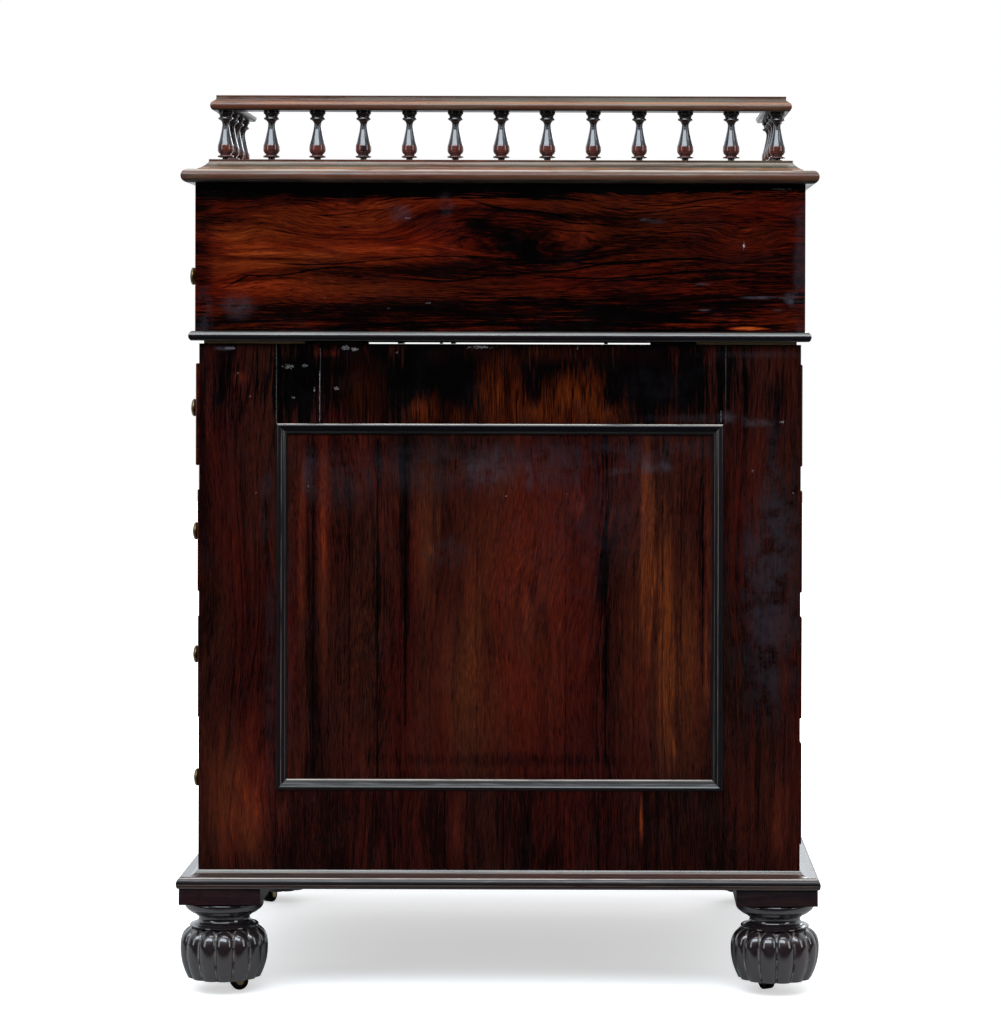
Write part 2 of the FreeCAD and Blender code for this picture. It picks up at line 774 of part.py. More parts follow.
def hinges():
    """Two butt hinges: the box's leaves with their pins, and the lid's leaves."""
    y, z = hinge_line()
    third = hinge_length / 6
    fixed, moving = [], []
    for s in (-1, 1):
        middle = s * hinge_spacing / 2
        outer = [(-hinge_length / 2, -third - slide_play / 2), (third + slide_play / 2, hinge_length / 2)]
        inner = [(slide_play / 2 - third, third - slide_play / 2)]
        pin = rod(hinge_pin_radius, Vector(middle - hinge_length / 2, y, z),
                  Vector(middle + hinge_length / 2, y, z))
        bore = rod(hinge_pin_radius + running_fit, Vector(middle - hinge_length, y, z),
                   Vector(middle + hinge_length, y, z))
        fixed += [hinge_half(middle, -1, outer).cut(pin), pin]
        moving.append(hinge_half(middle, 1, inner).cut(bore))
    return fixed, moving


def export_box():
    x, y = half_box
    inner_x, inner_y = x - box_wall_thickness, y - box_wall_thickness
    export("box_back", [block((-x, x), (-y, -inner_y), (box_low, top_low))])
    side = [(-inner_y, box_low), (inner_y, box_low), (inner_y, under_lid(inner_y)),
            (hinge_y, top_low - lid_seat), (hinge_y - lid_seat, top_low), (-inner_y, top_low)]
    pen_y, pen_z = pen_limits()
    mouth = block((-x - 1, -inner_x + 1), (pen_y[0] - front_play, pen_y[1] + front_play),
                  (pen_z[0] - front_play, pen_z[1] + front_play))
    export("box_sides", [prism(side, "x", -x, -inner_x).cut(mouth), prism(side, "x", inner_x, x)])
    front = prism([(inner_y, box_low), (y, box_low), (y, under_lid(y)), (inner_y, under_lid(inner_y))],
                  "x", -x, x)
    lock_top = under_lid(inner_y) - 2 * lock_from_top
    lock = block((-lock_width / 2, lock_width / 2),
                 (inner_y - lock_depth + lock_let_in, inner_y + lock_let_in),
                 (lock_top - lock_height, lock_top))
    key_z = lock_top - lock_height / 2 - y
    seat = moved(stood(escutcheon_seat(), "front"), 0, y, key_z + y)
    plate = moved(stood(escutcheon(), "front"), 0, y, key_z + y)
    export("box_front", [front.cut(lock).cut(seat)])
    export("box_lock", [lock, plate])
    export("box_bottom", [block((-inner_x, inner_x), (-inner_y, inner_y), (box_low, box_floor))])
    h, out = base_bead_height, base_bead_proud
    bead = [(0, box_low), (out - h * 0.25, box_low),
            ((out, box_low + h / 2), (out - h * 0.3, box_low + h - 0.4)), (0, box_low + h)]
    export("box_base_bead", mitred(x, y, bead))
    length = 2 * (housing_reach - slide_play) - slide_travel
    start = slide_play - housing_reach
    export("slide_battens", [batten(s, start, start + length, 0.0) for s in (-1, 1)])
    fixed, moving = hinges()
    top = moulded_slab(half_top[0], -half_top[1], hinge_y - lid_gap / 2, top_high, True, False)
    for cut in hinge_notches() + hinge_pockets(-1):
        top = top.cut(cut)
    export("box_top", [top])
    export("box_hinges", fixed)
    export_lid(moving)


def hinge_pockets(s):
    """Shallow pockets for the leaves, in the edge on one side of the joint."""
    edge = hinge_y + s * lid_gap / 2
    half = hinge_length / 2
    return [block((m * hinge_spacing / 2 - half, m * hinge_spacing / 2 + half),
                  (edge - s * 0.01, edge + s * hinge_leaf_thickness),
                  (top_high - hinge_leaf_depth, top_high + 1))
            for m in (-1, 1)]


def lid_placed(shape):
    """Lays work made flat, with its hinge edge at y = 0 and its face at z = 0, on the slope."""
    copy = spun(shape, -math.degrees(slope), axis=Vector(1, 0, 0))
    copy.translate(Vector(0, hinge_y, top_high))
    return copy


def export_lid(leaves):
    full = moulded_slab(half_top[0], -top_thickness / 2, lid_length, 0.0, False, True)
    thin = top_thickness - lid_thickness
    full = full.cut(block((-big, big), (-big, big), (-top_thickness - 1, thin - top_thickness)))
    keep = block((-big, big), (hinge_y + lid_gap / 2, big), (-big, big))
    inner_x = half_top[0] - lid_border_width
    inner_v = (lid_border_width, lid_length - lid_border_width)
    core = block((-inner_x, inner_x), inner_v, (-lid_thickness, 0))
    leather = block((leather_border_width - inner_x, inner_x - leather_border_width),
                    (inner_v[0] + leather_border_width / 2, inner_v[1] - leather_border_width / 2),
                    (-leather_thickness, 0))
    strike_v = (half_box[1] - box_wall_thickness / 2 - hinge_y) / math.cos(slope)
    strike = block((-strike_length / 2, strike_length / 2), (strike_v - strike_width / 2,
                   strike_v + strike_width / 2), (-lid_thickness, strike_thickness - lid_thickness))
    rest_v = lid_length - rest_from_front
    rest = prism([(rest_v, 0), (rest_v + rest_width, 0), (rest_v + rest_width, rest_height * 0.5),
                  ((rest_v + rest_width / 2, rest_height), (rest_v, rest_height * 0.5))],
                 "x", -rest_length / 2, rest_length / 2)
    edge = full.cut(core)
    middle_v = (inner_v[0] + inner_v[1]) / 2
    half_v = (inner_v[1] - inner_v[0]) / 2
    lengths = []
    for quarter in range(4):
        across, along = (inner_x, half_v) if quarter % 2 == 0 else (half_v, inner_x)
        reach = lid_length / 2
        wedge = prism([(across + reach, -along - reach), (across + reach, along + reach),
                       (across - 1, along - 1), (across - 1, 1 - along)], "z", -big, big)
        piece = edge.common(moved(spun(wedge, 90 * quarter), y=middle_v)).cut(strike)
        piece = lid_placed(piece).common(keep)
        for cut in hinge_notches() + hinge_pockets(1):
            piece = piece.cut(cut)
        lengths.append(piece)
    export("lid_edge", lengths)
    export("lid_panel", [lid_placed(core.cut(leather).cut(strike))])
    export("lid_leather", [lid_placed(leather)])
    export("lid_book_rest", [lid_placed(rest)])
    export("lid_brasses", leaves + [lid_placed(strike)])


# Gallery

def baluster():
    h, r = baluster_height, baluster_radius
    return turned([(0, 0), (r * 0.5, 0), (r * 0.5, h * 0.025), (r * 0.86, h * 0.025),
                   ((r, h * 0.067), (r * 0.86, h * 0.109)),
                   (r * 0.62, h * 0.117), ((r, h * 0.3), (r * 0.66, h * 0.49)),
                   ((r * 0.43, h * 0.69), (r * 0.52, h * 0.84)), (r * 0.76, h * 0.84),
                   ((r * 0.9, h * 0.868), (r * 0.76, h * 0.896)), (r * 0.64, h * 0.905),
                   (r * 0.64, h * 0.925), (r * 0.8, h * 0.93), ((r * 0.94, h * 0.956), (r * 0.8, h * 0.98)),
                   (r * 0.47, h * 0.98), (r * 0.47, h), (0, h)])


def rail_section():
    """Section of the gallery rail: (across, height), thumb moulded on both sides."""
    w, t, h = rail_width / 2, rail_top_width / 2, rail_height
    right = [(w * 0.83, 0), ((w, h * 0.33), (w * 0.911, h * 0.53)), (t, h * 0.74), (t, h)]
    left = [(-t, h), (-t, h * 0.74), (-w * 0.911, h * 0.53), ((-w, h * 0.33), (-w * 0.83, 0))]
    return right + left


def export_gallery():
    one = baluster()
    spots = [((k - (baluster_count - 1) / 2) * baluster_spacing, -gallery_y) for k in range(baluster_count)]
    spots += [(s * gallery_x, -gallery_y + k * side_spacing)
              for s in (-1, 1) for k in range(1, side_balusters + 1)]
    export("gallery_balusters", [moved(one, x, y, top_high) for x, y in spots])
    section = rail_section()
    end = -gallery_y + side_balusters * side_spacing + rail_width / 2
    half = gallery_x + rail_width
    back = moved(prism(section, "x", -half, half), 0, -gallery_y, rail_low)
    side = moved(prism(section, "y", -gallery_y - rail_width, end), gallery_x, 0, rail_low)
    mitre = [(0, -gallery_y + gallery_x), (gallery_x + rail_width, -gallery_y - rail_width),
             (-gallery_x - rail_width, -gallery_y - rail_width)]
    centre = prism(mitre, "z", rail_low - 1, rail_low + rail_height + 1)
    back = back.common(centre)
    side = side.cut(centre)
    export("gallery_rail", [back, side, side.mirror(Vector(), Vector(1, 0, 0))])


# Fittings inside the box

def export_fittings():
    inner_x, inner_y = half_box[0] - box_wall_thickness, half_box[1] - box_wall_thickness
    deep = (-inner_y, hinge_y - fittings_setback)
    shelf = (box_floor + small_drawer_height, box_floor + small_drawer_height + shelf_thickness)
    half = partition_thickness / 2
    pen_y, pen_z = pen_limits()
    pieces = [block((-inner_x, inner_x), deep, shelf),
              block((-half, half), deep, (box_floor, shelf[0])),
              block((inner_x / 2, inner_x / 2 + partition_thickness), deep, (box_floor, shelf[0]))]
    tall = top_low - shelf[1]
    edge = deep[1] - divider_setback
    scoop = [(deep[0], shelf[1]), (edge, shelf[1]),
             ((deep[1] - divider_scoop_depth, shelf[1] + tall * 0.5), (edge, top_low)), (deep[0], top_low)]
    for k in range(1, pigeonholes):
        middle = (2 * k / pigeonholes - 1) * inner_x
        pieces.append(prism(scoop, "x", middle - divider_thickness / 2, middle + divider_thickness / 2))
    export("pigeonhole_case", pieces)

    tray_end = pen_length - half_box[0] + slide_play
    along = (-inner_x, -half)
    carry = (box_floor, pen_z[0] - slide_play)
    hold = (pen_z[1] + slide_play, shelf[0])
    housing = []
    for edge, inward in ((pen_y[0], 1), (pen_y[1], -1)):
        over = (edge, edge + inward * pen_bearer_width)
        beside = (edge - inward * side_play, edge - inward * (side_play + pen_guide_width))
        housing.append(block(along, over, carry))
        housing.append(block(along, over, hold))
        housing.append(block(along, beside, (box_floor, shelf[0])))
    between = (pen_y[0] + pen_bearer_width, pen_y[1] - pen_bearer_width)
    housing.append(block((tray_end, tray_end + partition_thickness), between, (box_floor, shelf[0])))
    export("pen_drawer_housing", housing)

    widths = [inner_x / 2 - half, inner_x / 2 - partition_thickness]
    middles = [half + widths[0] / 2, inner_x / 2 + partition_thickness + widths[1] / 2]
    height = small_drawer_height
    pull = knob(small_knob_length, small_knob_radius, small_knob_radius * 0.75, small_knob_radius * 0.5)
    dummies = []
    for number, (middle, width) in enumerate(zip(middles, widths), 1):
        reach = deep[1] + inner_y - slide_play
        case = drawer_case(reach, width / 2 - side_play, height - slide_play - small_case_drop,
                           small_front_thickness, small_side_thickness, small_side_thickness, 2)
        face_board = block((0, small_front_thickness), (-width / 2 + front_play, width / 2 - front_play),
                           (0, height - slide_play - front_play))
        for board in case[:2]:
            face_board = face_board.cut(board)
        knobs = []
        for s in (-1, 1):
            turned_pull = spun(pull, -90, axis=Vector(0, 1, 0))
            knobs.append(moved(turned_pull, 0, s * width / 4, height / 2))
        pieces = [moved(spun(piece, -90), middle, deep[1], box_floor + slide_play)
                  for piece in [face_board] + knobs + case]
        export("small_drawer_" + str(number) + "_front", pieces[:3])
        export("small_drawer_" + str(number) + "_case", pieces[3:])
        board = block((front_play - width / 2, width / 2 - front_play), (-dummy_small_front_thickness, 0),
                      (box_floor, shelf[0] - front_play))
        twin = moved(board, -middle, deep[1])
        twin_knobs = [moved(knob_piece, -2 * middle) for knob_piece in pieces[1:3]]
        dummies += [twin] + twin_knobs
    export("dummy_small_fronts", dummies)


def export_pen_drawer():
    pen_y, pen_z = pen_limits()
    middle = (pen_y[0] + pen_y[1]) / 2
    case = drawer_case(pen_length, pen_width / 2 - pen_play, pen_height - pen_tray_drop,
                       pen_front_thickness, pen_side_thickness, pen_side_thickness, 2)
    inner = pen_width / 2 - pen_play - pen_side_thickness
    low = drawer_bottom_rise + drawer_bottom_thickness
    well_end = pen_front_thickness + pen_well_length
    case.append(block((well_end, well_end + pen_divider_thickness), (-inner, inner), (low, pen_height * 0.7)))
    board = block((0, pen_front_thickness), (-pen_width / 2, pen_width / 2), (0, pen_height))
    for piece in case[:2]:
        board = board.cut(piece)
    pull = spun(knob(knob_length, knob_radius, knob_rose_radius, knob_neck_radius), -90,
                axis=Vector(0, 1, 0))
    place = (-half_box[0], middle, pen_z[0])
    export("pen_drawer_front", [moved(board, *place)])
    export("pen_drawer_tray", [moved(piece, *place) for piece in case])
    export("pen_drawer_knob", [moved(moved(pull, 0, 0, pen_height / 2), *place)])


export_feet()
export_pedestal()
export_drawers()
export_box()
export_gallery()
export_fittings()
export_pen_drawer()
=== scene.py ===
import math

import bmesh
import bpy
from mathutils import Matrix, Vector


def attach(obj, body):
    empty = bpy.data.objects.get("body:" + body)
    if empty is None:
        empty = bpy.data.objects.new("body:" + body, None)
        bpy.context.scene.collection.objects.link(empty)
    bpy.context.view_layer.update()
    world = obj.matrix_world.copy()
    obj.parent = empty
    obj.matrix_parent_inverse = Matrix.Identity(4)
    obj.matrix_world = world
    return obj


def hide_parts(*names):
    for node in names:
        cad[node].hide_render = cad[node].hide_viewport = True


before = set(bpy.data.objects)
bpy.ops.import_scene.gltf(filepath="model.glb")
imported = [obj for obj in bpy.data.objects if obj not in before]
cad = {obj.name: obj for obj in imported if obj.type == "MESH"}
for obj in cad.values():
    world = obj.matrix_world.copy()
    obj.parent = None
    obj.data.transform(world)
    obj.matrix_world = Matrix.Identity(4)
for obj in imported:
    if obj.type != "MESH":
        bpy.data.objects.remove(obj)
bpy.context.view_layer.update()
print("desk loaded:", len(cad), "parts")


# camera, floor and light

view = {
    "place": (0.0985, -3.2157, 0.631),
    "lens": 107.1,
    "lookDown": 0.3,          # degrees
    "roll": 0.15,
    "shift": (-0.0990, -0.1476),
    "clip": (0.05, 60),
}


def setCamera():
    lens = bpy.data.cameras.new("viewLens")
    lens.lens = view["lens"]
    lens.shift_x, lens.shift_y = view["shift"]
    lens.clip_start, lens.clip_end = view["clip"]
    camera = bpy.data.objects.new("viewCamera", lens)
    camera.matrix_world = (Matrix.Translation(view["place"])
                           @ Matrix.Rotation(math.radians(90 - view["lookDown"]), 4, "X")
                           @ Matrix.Rotation(math.radians(view["roll"]), 4, "Z"))
    bpy.context.scene.collection.objects.link(camera)
    bpy.context.scene.camera = camera
    bpy.context.scene.view_settings.view_transform = "Standard"


setCamera()


class Strand:                 # one output socket, so that shader sums read as sums
    def __init__(self, bench, socket):
        self.bench, self.socket = bench, socket

    def does(self, operation, *others, **settings):
        return self.bench.put("ShaderNodeMath", [self, *others], operation=operation, **settings)

    def __add__(self, other):
        return self.does("ADD", other)

    __radd__ = __add__

    def __sub__(self, other):
        return self.does("SUBTRACT", other)

    def __rsub__(self, other):
        return self.bench.put("ShaderNodeMath", [other, self], operation="SUBTRACT")

    def __mul__(self, other):
        return self.does("MULTIPLY", other)

    __rmul__ = __mul__

    def __abs__(self):
        return self.does("ABSOLUTE")


class Bench:                  # one node tree and the nodes laid out on it
    def __init__(self, tree):
        self.tree = tree
        tree.nodes.clear()

    def put(self, kind, given=(), out=0, stops=None, **settings):
        node = self.tree.nodes.new(kind)
        for name, value in settings.items():
            setattr(node, name, value)
        if stops:
            ramp = node.color_ramp
            while len(ramp.elements) < len(stops):
                ramp.elements.new(0.5)
            for element, (place, colour) in zip(ramp.elements, stops):
                element.position, element.color = place, (*colour, 1)
        for key, value in given.items() if isinstance(given, dict) else enumerate(given):
            if isinstance(value, Strand):
                self.tree.links.new(value.socket, node.inputs[key])
            else:
                node.inputs[key].default_value = value
        return Strand(self, node.outputs[out]) if len(node.outputs) else None

    def ease(self, value, low, high):
        return self.put("ShaderNodeMapRange", [value, low, high], interpolation_type="SMOOTHSTEP")

    def fade(self, value, low, high):
        return self.put("ShaderNodeMapRange", [value, low, high, 1.0, 0.0],
                        interpolation_type="SMOOTHSTEP")

    def tint(self, amount, under, over):
        colours = [c if isinstance(c, Strand) else (*c, 1) for c in (under, over)]
        return self.put("ShaderNodeMix", {0: amount, 6: colours[0], 7: colours[1]}, out=2,
                        data_type="RGBA")

    def mix(self, amount, first, second):
        return self.put("ShaderNodeMix", {0: amount, 2: first, 3: second}, data_type="FLOAT")

    def ramp(self, value, stops):
        return self.put("ShaderNodeValToRGB", [value], stops=stops)

    def vector(self, operation, *given, out=0):
        return self.put("ShaderNodeVectorMath", list(given), out=out, operation=operation)

    def noise(self, where, scale, detail=2.0, rough=0.5, out=0):
        return self.put("ShaderNodeTexNoise", {"Vector": where, "Scale": scale, "Detail": detail,
                                               "Roughness": rough}, out=out)

    def blotches(self, where, scale, detail, rough, low, high):
        return self.ease(self.noise(where, scale, detail, rough), low, high)

    def bump(self, height, strength, distance, **under):
        return self.put("ShaderNodeBump", {"Strength": strength, "Distance": distance,
                                           "Height": height, **under})

    def here(self):
        return self.put("ShaderNodeTexCoord", out="Object")

    def ray(self, kind):
        return self.put("ShaderNodeLightPath", out=kind)

    def part(self, where, axis):
        return self.put("ShaderNodeSeparateXYZ", [where], out="xyz".index(axis))

    def reach(self, across, up):  # distance on a flat pattern
        return self.vector("LENGTH", self.put("ShaderNodeCombineXYZ", [across, up]), out="Value")

    def finish(self, shader):
        self.put("ShaderNodeOutputMaterial", [shader])

    def surface(self, sockets):
        self.finish(self.put("ShaderNodeBsdfPrincipled", sockets))


def newMaterial(name):
    material = bpy.data.materials.new(name)
    material.use_nodes = True
    return material, Bench(material.node_tree)


studio = {
    "floorReach": 9.0,
    "paleEdge": (0.34, 0.46),     # how far out in front the pale floor gives way to the dark studio
    "paleFloor": 0.82,
    "farFloor": 0.03,
    "mirroredFloor": 0.55,        # how much of the floor's tone a reflection takes
    "whiteRadius": (0.55, 1.6),   # where the camera sees the floor turn pure white
    "floorGlow": (0.56, 0.6),     # under the desk, and what is added further out
    "air": (0.90, 0.95, 1.0),
    "skyTop": 0.85,
    "skyLevel": 0.03,
    "skyRise": (0.22, 0.72),
    "backdrop": (0.28, 0.75),     # white cloth beyond the desk: its light, and what polish adds
    "backdropRise": (0.05, 0.45),
    "lamps": {                    # place, aim, size, colour, watts
        "sky": ((-0.45, -2.05, 2.25), (0.0, -0.2, 0.62), (3.0, 1.2), (0.84, 0.92, 1.0), 72),
        "overhead": ((0.1, -0.5, 2.90), (0.0, -0.1, 0.5), (2.0, 1.4), (1.0, 0.985, 0.96), 26),
        "leftSoftbox": ((-2.3, -1.9, 1.35), (0.0, 0.0, 0.5), (0.9, 1.9), (0.92, 0.96, 1.0), 14),
        "rightSoftbox": ((2.5, -1.7, 1.35), (0.0, 0.0, 0.5), (0.9, 1.9), (0.96, 0.98, 1.0), 16),
        "farFill": ((0.8, 2.9, 1.8), (0.0, 0.0, 0.5), (1.8, 1.4), (1.0, 1.0, 1.0), 30),
    },
}


def makeFloor():
    bm = bmesh.new()
    bmesh.ops.create_grid(bm, x_segments=2, y_segments=2, size=studio["floorReach"])
    mesh = bpy.data.meshes.new("floor")
    bm.to_mesh(mesh)
    bm.free()
    floor = bpy.data.objects.new("floor", mesh)
    bpy.context.scene.collection.objects.link(floor)
    material, bench = newMaterial("paleFloor")
    here, seen, mirrored = bench.here(), bench.ray("Is Camera Ray"), bench.ray("Is Glossy Ray")
    fall = bench.ease(bench.part(here, "y") * -1, *studio["paleEdge"]) * (1.0 - seen)
    shade = studio["paleFloor"] - fall * (studio["paleFloor"] - studio["farFloor"])
    shade = shade * (1.0 - mirrored * (1 - studio["mirroredFloor"]))
    matt = bench.put("ShaderNodeBsdfDiffuse", [bench.put("ShaderNodeCombineColor", [shade] * 3)])
    near, more = studio["floorGlow"]
    away = bench.vector("LENGTH", here, out="Value")
    white = bench.ease(away, *studio["whiteRadius"]) * more + near
    glow = bench.put("ShaderNodeEmission", [(1, 1, 1, 1), seen * white])
    bench.finish(bench.put("ShaderNodeAddShader", [matt, glow]))
    mesh.materials.append(material)


def makeAir():
    world = bpy.data.worlds.new("studioAir")
    world.use_nodes = True
    bpy.context.scene.world = world
    bench = Bench(world.node_tree)
    way, seen = bench.put("ShaderNodeTexCoord", out="Generated"), bench.ray("Is Camera Ray")
    level = bench.ease(bench.part(way, "z"), *studio["skyRise"])
    level = level * studio["skyTop"] + studio["skyLevel"]
    lit, polished = studio["backdrop"]
    cloth = bench.ray("Is Glossy Ray") * polished + lit
    cloth = bench.ease(bench.part(way, "y"), *studio["backdropRise"]) * cloth
    colour = bench.tint(seen, studio["air"], (1, 1, 1))
    strength = bench.mix(seen, level.does("MAXIMUM", cloth), 1.0)
    bench.put("ShaderNodeOutputWorld", [bench.put("ShaderNodeBackground", [colour, strength])])


def hangLamps():
    for name, (place, aim, size, colour, watts) in studio["lamps"].items():
        lamp = bpy.data.lights.new(name, "AREA")
        lamp.shape = "RECTANGLE"
        lamp.size, lamp.size_y = size
        lamp.color, lamp.energy = colour, watts
        holder = bpy.data.objects.new(name, lamp)
        turn = (Vector(aim) - Vector(place)).to_track_quat("-Z", "Y")
        holder.matrix_world = Matrix.Translation(place) @ turn.to_matrix().to_4x4()
        bpy.context.scene.collection.objects.link(holder)
        holder.visible_camera = False


makeFloor()
makeAir()
hangLamps()
print("studio set")


# rosewood

